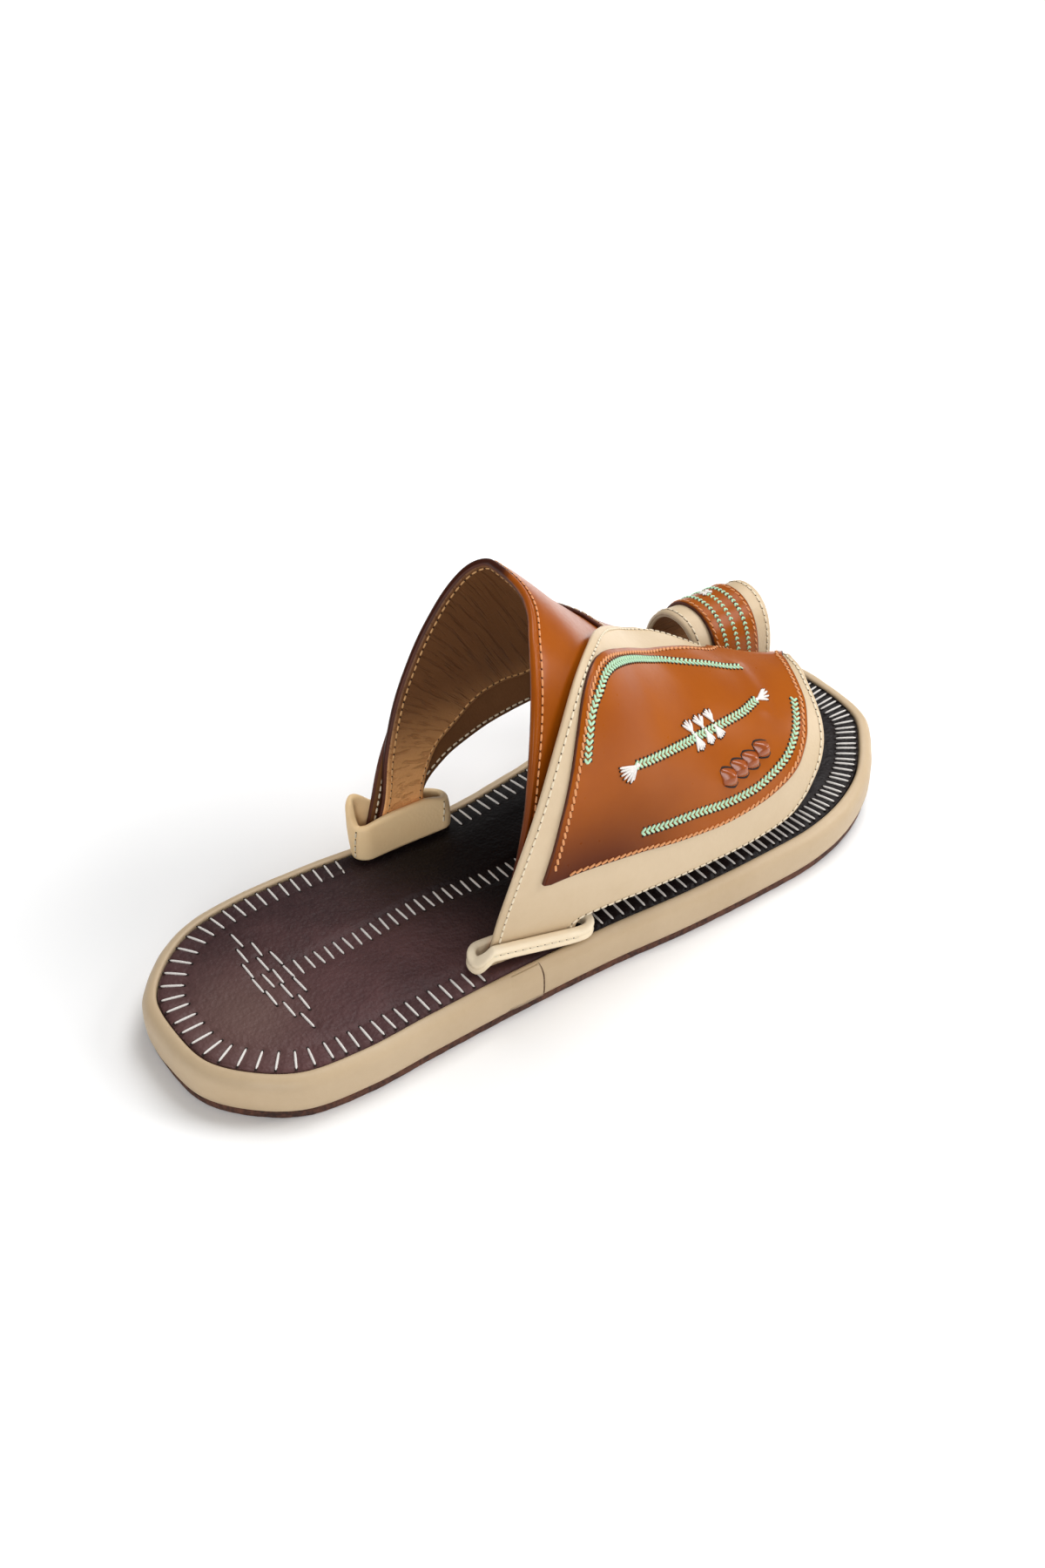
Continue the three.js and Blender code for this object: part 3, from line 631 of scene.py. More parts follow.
def smooth_loop(knots, from_knot, to_knot, fine=60):
    """Points of a closed curve through knots, whose bends depend on how far apart the knots are."""
    points = []
    for index in range(from_knot, to_knot):
        before, here, after, beyond = (knots[(index + step) % len(knots)] for step in (-1, 0, 1, 2))
        pairs = (before, here), (here, after), (after, beyond)
        first, middle, last = (math.sqrt(math.dist(*pair)) for pair in pairs)
        start = (here - before) / first - (after - before) / (first + middle) + (after - here) / middle
        start = start * middle
        end = ((after - here) / middle - (beyond - here) / (middle + last) + (beyond - after) / last) * middle
        for step in range(fine):
            t = step / fine
            points.append(here + start * t + (3 * (after - here) - 2 * start - end) * t**2
                          + (2 * (here - after) + start + end) * t**3)
    points.append(knots[to_knot % len(knots)])
    return np.array(points)


def evenly(points, steps):
    length = np.concatenate([[0], np.cumsum(np.linalg.norm(np.diff(points, axis=0), axis=1))])
    wanted = np.linspace(0, length[-1], steps + 1)
    return np.stack([np.interp(wanted, length, points[:, axis]) for axis in range(points.shape[1])], -1)


knots = [(0.0, 0.043), *INNER_SIDE, (1.0, -0.061), *reversed(OUTER_SIDE)]
knots = [np.array([across * BALL_WIDTH, along_to_y(along)]) for along, across in knots]
toe_knot = len(INNER_SIDE) + 1
inner_line = evenly(smooth_loop(knots, 0, toe_knot), SIDE_STEPS)
outer_line = evenly(smooth_loop(knots, toe_knot, len(knots))[::-1], SIDE_STEPS)
outline = np.concatenate([inner_line, outer_line[1:-1][::-1]])


def sole_line(inset):
    """The outline set in by a distance, as x and y round the whole sole."""
    direction = unit(np.roll(outline, -1, 0) - np.roll(outline, 1, 0))
    return outline + np.stack([direction[:, 1], -direction[:, 0]], -1) * inset


def distances(points, line):
    """How far each point lies from the nearest point of a line."""
    return np.concatenate([
        np.sqrt(((part[:, None] - line[None]) ** 2).sum(-1).min(1)) for part in np.array_split(points, 60)
    ])


print("sole outline:", np.ptp(outline, axis=0).round(1), "mm across and along")

# %% [markdown]
# Each layer of the sole is a stack of such lines, drawn upwards from its underside round its edge, and
# closed above and below by rows that run from side to side. The rows keep the toe spring's curve.

# %% Layers of the sole
def stacked(levels, waves=None):
    """The side of a layer: levels are (inset, height) from below to above."""
    lines = [(sole_line(inset), height) for inset, height in levels]
    count = len(outline)

    def place(u, v):
        index = np.rint(u * count).astype(int) % count
        level = np.rint(v * (len(levels) - 1)).astype(int)
        xy = np.stack([line for line, _ in lines])[level, index]
        height = np.array([height for _, height in lines])[level]
        points = np.column_stack([xy, height + spring(xy[:, 1])])
        return waves(points, index, level) if waves else points

    return laid_grid(count, len(levels) - 1, place, (0.66, 0.03))


def across_rows(inset, columns, height):
    """A cover for a layer: rows from the inner to the outer side, at height(x, y) over the floor."""
    line = sole_line(inset)
    inner = line[:SIDE_STEPS + 1]
    outer = np.concatenate([line[:1], line[SIDE_STEPS:][::-1]])

    def place(u, v):
        row = np.rint(u * SIDE_STEPS).astype(int)
        share = (0.5 - 0.5 * np.cos(np.pi * v))[:, None]
        xy = inner[row] * (1 - share) + outer[row] * share
        return np.column_stack([xy, height(xy[:, 0], xy[:, 1])])

    return laid_grid(SIDE_STEPS, columns, place, (0.3, 0.1))


def joined(*meshes):
    """Several bmeshes as one."""
    whole = meshes[0]
    for other in meshes[1:]:
        step = bpy.data.meshes.new("step")
        other.to_mesh(step)
        other.free()
        whole.from_mesh(step)
        bpy.data.meshes.remove(step)
    return whole


def outsole_mesh():
    def fray(points, index, level):
        edge_wear_and_shade = 0.18 * np.sin(index * 0.9) + 0.14 * np.sin(index * 2.3 + 1) + 0.1 * np.sin(index * 5.1)
        points[:, 2] += np.where(level == 0, 0, edge_wear_and_shade * 0.3)
        return points

    top = OUTSOLE_THICKNESS
    side = stacked([(1.4, 0), (1.0, 0.25), (0.85, 0.7), (0.8, 1.6), (0.9, top - 0.3), (1.2, top)], fray)
    return closed_up(joined(side, across_rows(1.4, 24, lambda x, y: spring(y))))


piece("outsole_leather", outsole_mesh(), [outsole_leather], ["outsole"])

# %% [markdown]
# The platform's side is one strip of beige leather pulled round a board and turned over its top. It is
# faintly wavy, as hand-pulled leather is, and its two ends overlap in one upright seam on the outer side.

# %% The wrapped platform
def wrap_levels(raise_by=0.0):
    levels = [(2.4, 3.15), (1.1, 3.2), (0.45, 3.6), (0.1, 4.4), (-0.05, 6), (-0.1, 8), (0, 10.5)]
    for step in range(1, 11):
        angle = step / 10 * math.pi / 2
        inwards, downwards = 1 - math.cos(angle), 1 - math.sin(angle)
        levels.append(((RIM_WIDTH - 0.9) * inwards, RIM_HEIGHT - RIM_ROUNDING * downwards))
    levels += [(4.45, 15.35), (4.72, 14.9), (4.75, 13.6), (4.75, 12.7)]
    return [(inset - raise_by, height) for inset, height in levels]


def pulled(points, index, level):
    """The faint waves of leather pulled tight round a corner."""
    turn = index / len(outline) * 2 * math.pi
    wave = 0.12 * np.sin(turn * 13 + 0.7) + 0.09 * np.sin(turn * 29 + points[:, 2] * 0.25)
    wave = wave + 0.05 * np.sin(turn * 71)
    points[:, :2] += unit(points[:, :2]) * (wave * ((level > 2) & (level < 15)))[:, None]
    return points


def flat_cover(inset, height, columns=8):
    return across_rows(inset, columns, lambda x, y: height + spring(y))


first_level, last_level = wrap_levels()[0], wrap_levels()[-1]
wrap = joined(stacked(wrap_levels(), pulled), flat_cover(*first_level), flat_cover(*last_level))
piece("platform_wrap", closed_up(wrap), [wrap_beige], ["midsole"])

# The overlap lies between these places along the shoe, on these levels of the wrap
FLAP_REAR, FLAP_FRONT, SEAM_Y = -50.0, -33.6, -33.4
SIDE_LEVELS = slice(3, 16)
outer_rows = np.arange(len(outline))[SIDE_STEPS + 20:-20]


def side_at(inset, y):
    """How far out the sole's outer side lies at y, on the outline set in by inset."""
    line = sole_line(inset)[outer_rows]
    return np.interp(-y, -line[:, 1], line[:, 0])


def flap_mesh():
    """The overlapping end of the wrap: a thin flap that follows the side of the platform."""
    levels = wrap_levels(0.42)[SIDE_LEVELS]

    def place(u, v):
        inset, height = np.array(levels)[np.rint(v * (len(levels) - 1)).astype(int)].T
        y = FLAP_REAR + (FLAP_FRONT - FLAP_REAR) * u
        x = np.array([side_at(*spot) for spot in zip(inset, y)])
        sink = 0.75 * (1 - soft_step(0.0, 0.55, u)) + 0.5 * soft_step(0.975, 1.0, u)
        return np.column_stack([x - sink, y, height - sink * 0.3])

    return laid_grid(40, len(levels) - 1, place, (0.016, 0.02))


flap = flap_mesh()
bmesh.ops.solidify(flap, geom=flap.faces[:], thickness=0.0003)
bmesh.ops.recalc_face_normals(flap, faces=flap.faces)
piece("wrap_end", flap, [wrap_beige])

outwards = np.array([1.0, 0, 0])
seam = np.array([[side_at(inset, SEAM_Y), SEAM_Y, height] for inset, height in wrap_levels(0.1)[SIDE_LEVELS]])
row = [((start + end) / 2, unit(end - start), outwards, float(np.linalg.norm(end - start)) + 0.3, 0.35, 0.3)
       for start, end in zip(seam[:-1], seam[1:])]
piece("wrap_seam", threads(row), [dark_edge])

# %% [markdown]
# The insole is padded leather, sewn down by hand with thick white thread: a row square to its edge, a row
# down its middle and an arrowhead at the heel. The stitches are listed first, because each one draws the
# leather into a short trough, and the insole's surface is shaped from the same list.

# %% The hand stitches of the insole
EDGE_PITCH, EDGE_STITCH, EDGE_ROW = 4.2, 7.4, 9.6
MIDDLE_PITCH, MIDDLE_STITCH, MIDDLE_START, MIDDLE_COUNT = 3.55, 6.9, -91.2, 39
MIDDLE_LINE = [-95, -73, -50, -32, -18, 45], [3.4, 2.9, 1.6, 2.7, 4.2, 5]
# The arrowhead's columns, from the middle one outwards, by where their stitches lie along the shoe
ARROW = [(-95.2, -98.8, -102.6, -106.1, -109.8), (-99, -103.8, -109.2), (-101.9, -107.1), (-105,)]
ARROW_MIDDLE, ARROW_COLUMN, ARROW_STITCH = 3.1, 7.3, 7.6
# Small folds of the insole beside the keepers: where each starts, its direction and its length
PUCKERS = [(37, -56, 3.3, 9), (36.5, -58.5, 3.6, 10), (36, -61, 3.9, 8), (38, -55, 2.9, 9),
           (-27, -57, 5.3, 8), (-29, -57.5, 4.9, 7), (-25, -56, 5.7, 8)]
FINE_STEP = 0.6

edge_row = sole_line(EDGE_ROW)
edge_row = np.column_stack([np.vstack([edge_row, edge_row[:1]]), np.zeros(len(edge_row) + 1)])
centres, directions, _ = stepped(edge_row, FINE_STEP)
wider_at_heel, closer_at_toe = soft_step(-98, -116, centres[:, 1]), soft_step(38, 80, centres[:, 1])
pitches = EDGE_PITCH + 1.1 * wider_at_heel - 1.4 * closer_at_toe
picked = np.nonzero(np.diff(np.floor(np.cumsum(FINE_STEP / pitches) + 0.4)))[0]
centres, directions = centres[picked], directions[picked]
insole_stitches = []
for (x, y, _), (along_x, along_y, _) in zip(centres, directions):
    under_keeper = (x > 0 and -49 < y < -12) or (x < 0 and -56 < y < -14)
    under_loop = x < -30 and 84 < y < 124
    if not (under_keeper or under_loop):
        insole_stitches.append((x, y, -along_y, along_x, EDGE_STITCH))
for step in range(MIDDLE_COUNT):
    y = MIDDLE_START + step * MIDDLE_PITCH
    x = float(np.interp(y, *MIDDLE_LINE))
    insole_stitches.append((x, y, 1, 0.05 * math.sin(step * 2.1), MIDDLE_STITCH))
for column, rows in enumerate(ARROW):
    for side in (-1, 1) if column else (1,):
        x = ARROW_MIDDLE + ARROW_COLUMN * column * side
        insole_stitches += [(x, y, 1, 0.04 * math.sin(y), ARROW_STITCH) for y in rows]
insole_stitches = np.array(insole_stitches)
print("hand stitches in the insole:", len(insole_stitches))


def insole_top(x, y, roll=2.4):
    """The height of the insole: its rolled edge, its padding, and a trough under every stitch."""
    edge = distances(np.stack([x, y], -1), sole_line(PAD_INSET))
    height = INSOLE_HEIGHT + spring(y)
    rolled = np.clip(roll - edge, 0, roll)
    height = height - (roll - np.sqrt(np.maximum(roll**2 - rolled**2, 0))) * 0.8
    padding = 0.55 * soft_step(7.5, 15, edge) * (1 - 0.75 * np.exp(-(((x - 3) / 5) ** 2) * (y < 60)))
    padding = padding + 0.22 * np.sin(x * 0.16 + 1.2) * np.sin(y * 0.105 + 0.4) * soft_step(9, 20, edge)
    height = height + padding - 0.35
    trough = np.zeros_like(x)
    for sx, sy, dx, dy, length in insole_stitches:
        near = np.nonzero((np.abs(x - sx) < 8) & (np.abs(y - sy) < 8))[0]
        size = math.hypot(dx, dy)
        along = ((x[near] - sx) * dx + (y[near] - sy) * dy) / size
        aside = ((x[near] - sx) * -dy + (y[near] - sy) * dx) / size
        past_end = np.abs(along) - length / 2
        depth = 0.62 * np.exp(-((aside / 0.95) ** 2)) * (1 - soft_step(-0.4, 1.5, past_end))
        pinch = 0.35 * np.exp(-((past_end / 0.8) ** 2) - (aside / 1.1) ** 2)
        trough[near] = np.maximum(trough[near], depth + pinch)
    for fx, fy, turn, length in PUCKERS:
        along = (x - fx) * math.cos(turn) + (y - fy) * math.sin(turn)
        aside = -(x - fx) * math.sin(turn) + (y - fy) * math.cos(turn)
        ridge = np.exp(-((aside / 0.9) ** 2)) * soft_step(0, 2, along)
        ridge = ridge * (1 - soft_step(length * 0.4, length, along))
        height = height + 0.55 * ridge
    return height - trough


def painted_heel_sheen(points):
    """Painted highlight: a broad sheen lightens a patch of the insole at the heel."""
    return 0.75 * np.exp(-(((points[:, 0] - 12) / 20) ** 2) - ((points[:, 1] + 120) / 17) ** 2)


def strap_shade(points):
    """Painted shade: under the straps the insole is painted near black."""
    return 0.92 * soft_step(-74, -26, points[:, 1] - 0.4 * points[:, 0])


side = stacked([(PAD_INSET, PAD_UNDERSIDE), (PAD_INSET, PAD_UNDERSIDE + 0.8)])
rim_line = sole_line(PAD_INSET)
rim_height = insole_top(rim_line[:, 0], rim_line[:, 1])
for vert in side.verts:
    if vert.co.z / MM - spring(vert.co.y / MM) > PAD_UNDERSIDE + 0.4:
        nearest = int(((rim_line - np.array([vert.co.x, vert.co.y]) / MM) ** 2).sum(1).argmin())
        vert.co.z = rim_height[nearest] * MM
pad = joined(side, across_rows(PAD_INSET, 120, insole_top), flat_cover(PAD_INSET, PAD_UNDERSIDE, 6))
piece("insole_leather_pad", closed_up(pad), [insole_leather], ["insole"],
      {"heel_sheen": painted_heel_sheen, "strap_shade": strap_shade})

heights = insole_top(insole_stitches[:, 0], insole_stitches[:, 1])
row = []
for (x, y, dx, dy, length), z in zip(insole_stitches, heights):
    slope = float(spring(y + 0.5) - spring(y - 0.5))
    direction = unit(np.array([dx, dy, dy * slope]))
    normal = unit(np.array([0, -slope, 1]))
    row.append((np.array([x, y, z + 0.3]), direction, normal, length, 0.85, 0.85))
piece("insole_stitches", threads(row), [white_thread])
all_holes += holes_of(row, 1.0, both=True)

# %% [markdown]
# A strap is a closed band of leather. Its course says how it runs over the arch, as rows that join its rear
# edge to its front edge, and its section says how thick it is, how its edges are rounded and which face is
# lining. Stitch lines come from the same course, so they always lie on their strap.

# %% Courses and bands
class Course:
    """How a strap runs over an arch, and how far over it each point lies."""

    def __init__(self, surface, rows, lift):
        self.surface, self.rows, self.lift = surface, np.array(rows, float), lift

    def spot(self, length, width):
        at = np.asarray(length, float) * (len(self.rows) - 1)
        keys = np.arange(len(self.rows))
        columns = (follow(keys, self.rows[:, column], at) for column in range(4))
        rear_turn, rear_y, front_turn, front_y = columns
        return rear_turn + (front_turn - rear_turn) * width, along_to_y(rear_y + (front_y - rear_y) * width)

    def breadth(self, length):
        """The strap's width in millimetres."""
        length = np.asarray(length, float)
        shares = np.linspace(0, 1, 9)
        turn, y = self.spot(length[..., None], shares)
        points = self.surface(inside_feet(turn), y)
        return np.linalg.norm(np.diff(points, axis=-2), axis=-1).sum(-1)

    def points(self, length, share, extra, height):
        """Points at a share of the width plus extra millimetres, raised by height."""
        turn, y = self.spot(length, share + extra / self.breadth(length))
        return over(self.surface, turn, y, self.lift(turn, y) + height)

    def line(self, share, extra, height, start=0.0, end=1.0, steps=500):
        """A line along the strap and the leather's direction outwards at its points."""
        length = np.linspace(start, end, steps)
        turn, y = self.spot(length, share + extra / self.breadth(length))
        return self.points(length, share, extra, height), normal_on(self.surface, turn, y)


def constant(height):
    """A height that is the same at every place."""
    return lambda place, _: height + 0 * place


def run(first, last, steps):
    """Points of a section from one to another; the last one is left for what follows."""
    (share, extra, height, paint), (share_end, extra_end, height_end) = first, last
    for step in range(steps):
        t = step / steps
        yield (share + (share_end - share) * t, extra + (extra_end - extra) * t,
               height + (height_end - height) * t, paint)


def band(course, ring, steps, shape=None):
    """A closed band: ring lists (share of width, extra mm, height, finish) once round its section."""
    shares, extras, heights, paints = (np.array(column, float) for column in zip(*ring))
    count = len(ring)

    def place(u, v):
        index = np.rint(v * count).astype(int) % count
        raise_by = shape(u, shares[index], heights[index]) if shape else 0
        return course.points(u, shares[index], extras[index], heights[index] + raise_by)

    around = float(course.breadth(0.5)) * 2 * MM
    return closed_up(laid_grid(steps, count, place, (0.25, around), np.append(paints, paints[-1])))


def section(face, rim, back, paints):
    """A strap's section once round. face and back are (mm from the edges, height, steps), and rim lists
    (mm from the edge, height) down the rear edge; the front edge mirrors it. paints: face, rim, back."""
    (face_extra, face_height, face_steps), (back_extra, back_height, back_steps) = face, back
    return [
        *run((1, -face_extra, face_height, paints[0]), (0, face_extra, face_height), face_steps),
        *((0, extra, height, paints[1]) for extra, height in rim),
        *run((0, back_extra, back_height, paints[2]), (1, -back_extra, back_height), back_steps),
        *((1, -extra, height, paints[1]) for extra, height in reversed(rim)),
    ]


def near_edge(course, reach, shares=(0, 1)):
    """A mark that is 1 on a strap's long edges and falls to 0 at reach millimetres."""
    lines = np.concatenate([course.line(share, 0, 1.0, steps=240)[0] for share in shares])
    return lambda points: np.clip(1 - distances(points, lines) / reach, 0, 1)


print("a plain section has", len(section((1, 2, 8), [(0, 1)], (1, 0, 8), (0, 0, 0))), "points")

# %% [markdown]
# The instep strap is glossy cognac leather outside and wrinkled tan lining inside. Its rear edge is rolled
# over into a soft bead with a stitch line beside it, and the lining stops short of both edges.

# %% The instep strap
INSTEP = Course(foot_top, [
    (0, 0.326, 0, 0.42), (0.04, 0.356, 0.04, 0.413), (0.094, 0.37, 0.085, 0.436), (0.15, 0.389, 0.11, 0.468),
    (0.21, 0.416, 0.137, 0.5), (0.28, 0.446, 0.165, 0.541), (0.36, 0.471, 0.2, 0.585),
    (0.45, 0.487, 0.29, 0.622), (0.53, 0.486, 0.43, 0.635), (0.59, 0.471, 0.56, 0.62),
    (0.655, 0.442, 0.68, 0.585), (0.72, 0.418, 0.79, 0.535), (0.79, 0.396, 0.88, 0.483),
    (0.86, 0.379, 0.93, 0.46), (0.93, 0.36, 0.965, 0.449), (1, 0.337, 1, 0.437),
], constant(0))
instep_section = [
    *run((1, -0.7, 2.6, 0), (0, 3.6, 2.6), 26),
    (0, 3.0, 2.45, 0), (0, 2.5, 2.35, 0), (0, 2.0, 2.6, 0), (0, 1.4, 2.85, 0), (0, 0.7, 2.9, 0),
    (0, 0.1, 2.7, 0), (0, -0.35, 2.2, 0), (0, -0.45, 1.6, 0), (0, -0.3, 1.0, 2), (0, 0.1, 0.6, 2),
    (0, 0.5, 0.45, 1), (0, 0.75, 0.1, 1),
    *run((0, 1.0, 0.0, 1), (1, -0.9, 0.0), 32),
    (1, -0.7, 0.1, 1), (1, -0.45, 0.45, 1), (1, -0.15, 0.8, 0), (1, 0, 1.4, 0), (1, -0.15, 2.1, 0),
]


def lining_folds(u, share, height):
    """Soft creases across the strap in its lining, deepest over the instep."""
    inside = np.where((height < 0.3) & (share > 0.02) & (share < 0.98), 1, 0)
    sway = 1.5 * np.sin(share * 9 + u * 20)
    folds = np.sin(u * 210 + sway) * 0.5 + np.sin(u * 133 + share * 5) * 0.5
    return -inside * 0.16 * np.clip(folds, -0.2, 1) * soft_step(0.05, 0.2, u) * (1 - soft_step(0.5, 0.62, u))


def lining_shade(points):
    """Painted shade: the lining is darker towards the top of the arch, where the strap shades it."""
    return soft_step(30, 72, points[:, 2])


def darker_low_up_to(height):
    """The leather is darker low down towards the rear, less and less up to a height."""
    return lambda points: (1 - soft_step(36, height, points[:, 2])) * (1 - soft_step(-15, 42, points[:, 1]))


def bead_shade(points):
    """Darker along the cut edges; on the inner side the rolled bead is painted dark as shade, where it lies
    on the shadow side, and on the outer side it is clean.
    """
    inner = 1 - soft_step(-22, 2, points[:, 0])
    at_bead = 1.3 * near_edge(INSTEP, 9, (0,))(points) ** 0.5
    return np.maximum(near_edge(INSTEP, 1.6)(points), at_bead * inner)


instep_mesh = band(INSTEP, instep_section, 260, lining_folds)
piece("instep_strap", instep_mesh, [cognac, tan_lining, dark_edge], ["upper"],
      {"edge": bead_shade, "shadowed": lining_shade, "darker_low": darker_low_up_to(122)})


def sewn_rows(name, course, lines, finish, slot, pitch=2.7, length=2.0, width=0.75, turned=0.0):
    """Rows of stitches along a strap, each given by (share of width, extra mm, height, start, end)."""
    row = []
    for share, extra, height, start, end in lines:
        row += sew(*course.line(share, extra, height, start, end), pitch, length, width, 0.6, turned)
    all_holes.extend(holes_of(row))
    return piece(name, threads(row), [finish])


sewn_rows("instep_outer_stitches", INSTEP, [(0, 3.4, 2.68, 0.02, 0.98)], orange_thread, "strap_leather",
          length=2.2)
sewn_rows("lining_stitches", INSTEP, [(0, 2.2, -0.1, 0.03, 0.97), (1, -2.0, -0.1, 0.03, 0.97)], tan_thread,
          "strap_leather")

# %% [markdown]
# The under strap is brown leather that crosses over the instep strap and runs forward beneath the front
# panel. Only its edges and a corner of its face show, but it holds the straps together where they cross.

# %% The under strap
UNDER = Course(foot_top, [
    (0, 0.326, 0, 0.426), (0.04, 0.345, 0.038, 0.417), (0.09, 0.366, 0.066, 0.451), (0.14, 0.396, 0.088, 0.5),
    (0.19, 0.4375, 0.115, 0.559), (0.24, 0.483, 0.15, 0.611), (0.29, 0.521, 0.21, 0.66),
    (0.35, 0.552, 0.3, 0.701), (0.41, 0.58, 0.41, 0.726), (0.48, 0.604, 0.52, 0.736),
    (0.56, 0.618, 0.62, 0.733), (0.65, 0.622, 0.72, 0.719), (0.74, 0.618, 0.8, 0.701),
], constant(2.65))
under_section = section((0.5, 1.5, 18), [(0.1, 1.35), (0, 0.8), (0.1, 0.2)], (0.5, 0.02, 18), (0, 2, 1))
piece("under_strap", band(UNDER, under_section, 170), [brown, olive_lining, dark_edge],
      ["upper"], {"edge": near_edge(UNDER, 1.8)})
edges = [(share, extra, height, 0.03, 0.98)
         for share, extra in ((0, 2.4), (1, -2.4)) for height in (1.6, -0.1)]
sewn_rows("under_strap_stitches", UNDER, edges, cream_thread, "strap_leather")

# %% [markdown]
# The front panel is one large piece of beige leather over a dark lining. Its whole rim is rounded, it is
# sewn round in cream thread, and on the outer side it comes down on the instep strap into the keeper. A few
# broad folds are pressed into it, where the leather bends towards its foot and over the toes.

# %% The front panel
# Each fold: where it starts and ends on the arch, its breadth and its height in mm
FOLDS = [((0.83, 0.467), (0.9, 0.531), 7, -0.5), ((0.56, 0.768), (0.7, 0.755), 4, 0.5),
         ((0.62, 0.62), (0.71, 0.53), 10, -0.4), ((0.78, 0.6), (0.86, 0.66), 12, 0.4)]
PANEL_TOP, DROP_TO_KEEPER = 6.0, 1.6
ARCH_ROUND = 230


def panel_lift(turn, y):
    """The panel's height over the arch, with its folds."""
    lift = PANEL_TOP - DROP_TO_KEEPER * soft_step(0.82, 0.95, turn)
    for start, end, breadth, height in FOLDS:
        across, back = (turn - start[0]) * ARCH_ROUND, y - along_to_y(start[1])
        way, run_on = (end[0] - start[0]) * ARCH_ROUND, (end[1] - start[1]) * SOLE_LENGTH
        share = np.clip((across * way + back * run_on) / (way**2 + run_on**2), 0, 1)
        away = (across - share * way) ** 2 + (back - share * run_on) ** 2
        lift = lift + height * np.exp(-away / breadth**2)
    return lift


PANEL = Course(foot_top, [
    (0, 0.835, 0, 0.905), (0.15, 0.83, 0.15, 0.905), (0.28, 0.82, 0.28, 0.9), (0.37, 0.802, 0.39, 0.893),
    (0.435, 0.777, 0.485, 0.882), (0.475, 0.74, 0.55, 0.871), (0.492, 0.7, 0.61, 0.858),
    (0.502, 0.66, 0.675, 0.848), (0.52, 0.625, 0.735, 0.84), (0.553, 0.59, 0.79, 0.83),
    (0.6, 0.548, 0.84, 0.816), (0.655, 0.507, 0.885, 0.8), (0.71, 0.465, 0.925, 0.783),
    (0.765, 0.429, 0.957, 0.757), (0.815, 0.4, 0.972, 0.71), (0.865, 0.376, 0.976, 0.63),
    (0.91, 0.358, 0.977, 0.55), (0.95, 0.344, 0.978, 0.48), (0.975, 0.338, 0.983, 0.447),
    (1, 0.334, 1, 0.441),
], panel_lift)
panel_section = [
    *run((1, -0.9, 0, 0), (0, 0.9, 0), 44), (0, 0.45, -0.08, 0), (0, 0.12, -0.35, 0), (0, 0, -0.85, 0),
    (0, 0.1, -1.35, 0), (0, 0.5, -1.65, 1), *run((0, 1.0, -1.7, 1), (1, -1.0, -1.7), 34),
    (1, -0.5, -1.65, 0), (1, -0.1, -1.35, 0), (1, 0, -0.85, 0), (1, -0.12, -0.35, 0), (1, -0.45, -0.08, 0),
]
piece("front_panel", band(PANEL, panel_section, 240), [beige, olive_lining], ["upper"],
      {"edge": near_edge(PANEL, 1.1)})
edges = [(0, 2.3, 0.16, 0.03, 0.975), (1, -2.3, 0.16, 0.03, 0.975)]
sewn_rows("panel_stitches", PANEL, edges, cream_thread, "trim_leather", length=2.15, width=0.85)

# %% [markdown]
# The brown inset on the panel is a second piece of leather, laid on and sewn down with orange thread inside
# its cut edge. It takes most of the light, so its face is smooth and glossy.

# %% The inset of the panel
INSET = Course(foot_top, [
    (0.4, 0.825, 0.43, 0.882), (0.44, 0.807, 0.504, 0.863), (0.485, 0.775, 0.56, 0.849),
    (0.52, 0.74, 0.615, 0.838), (0.545, 0.7, 0.67, 0.828), (0.565, 0.655, 0.72, 0.815),
    (0.59, 0.615, 0.765, 0.802), (0.615, 0.58, 0.8, 0.788), (0.645, 0.54, 0.835, 0.77),
    (0.68, 0.5, 0.865, 0.745), (0.72, 0.471, 0.89, 0.71), (0.765, 0.45, 0.905, 0.66),
    (0.81, 0.433, 0.913, 0.6),
    (0.855, 0.416, 0.918, 0.53), (0.89, 0.405, 0.921, 0.46), (0.922, 0.394, 0.924, 0.405),
], PANEL.lift)
INSET_TOP = 1.3
cut_edge = [(0.15, INSET_TOP - 0.15), (0, 0.75)]
inset_section = section((0.5, INSET_TOP, 40), cut_edge, (0.05, 0.05, 30), (0, 1, 1))
piece("panel_inset", band(INSET, inset_section, 220), [cognac, dark_edge],
      ["front_panel_overlay"], {"edge": near_edge(INSET, 0.6), "darker_low": darker_low_up_to(80)})
INSET_SEWING = {"pitch": 2.35, "length": 2.5, "width": 0.95, "turned": 0.4}
edges = [(0, 2.4, INSET_TOP + 0.1, 0.012, 0.965), (1, -2.4, INSET_TOP + 0.1, 0.012, 0.965)]
sewn_rows("inset_stitches", INSET, edges, orange_thread, "strap_leather", **INSET_SEWING)
turn, y = INSET.spot(0.014, np.linspace(0.18, 0.82, 60))
end_line = over(foot_top, turn, y, INSET.lift(turn, y) + INSET_TOP)
row = sew(end_line, normal_on(foot_top, turn, y), height=0.6, **INSET_SEWING)
piece("inset_end_stitches", threads(row), [orange_thread])

# %% [markdown]
# The embroidery is worked on the inset before it is sewn down: two bowed rows of mint chain stitch along its
# edges, a straight one in the middle that ends in fans of white thread, and three pairs of white tufts. Each
# line was read off the sandal as places on the arch, and stitches are then stepped along it.

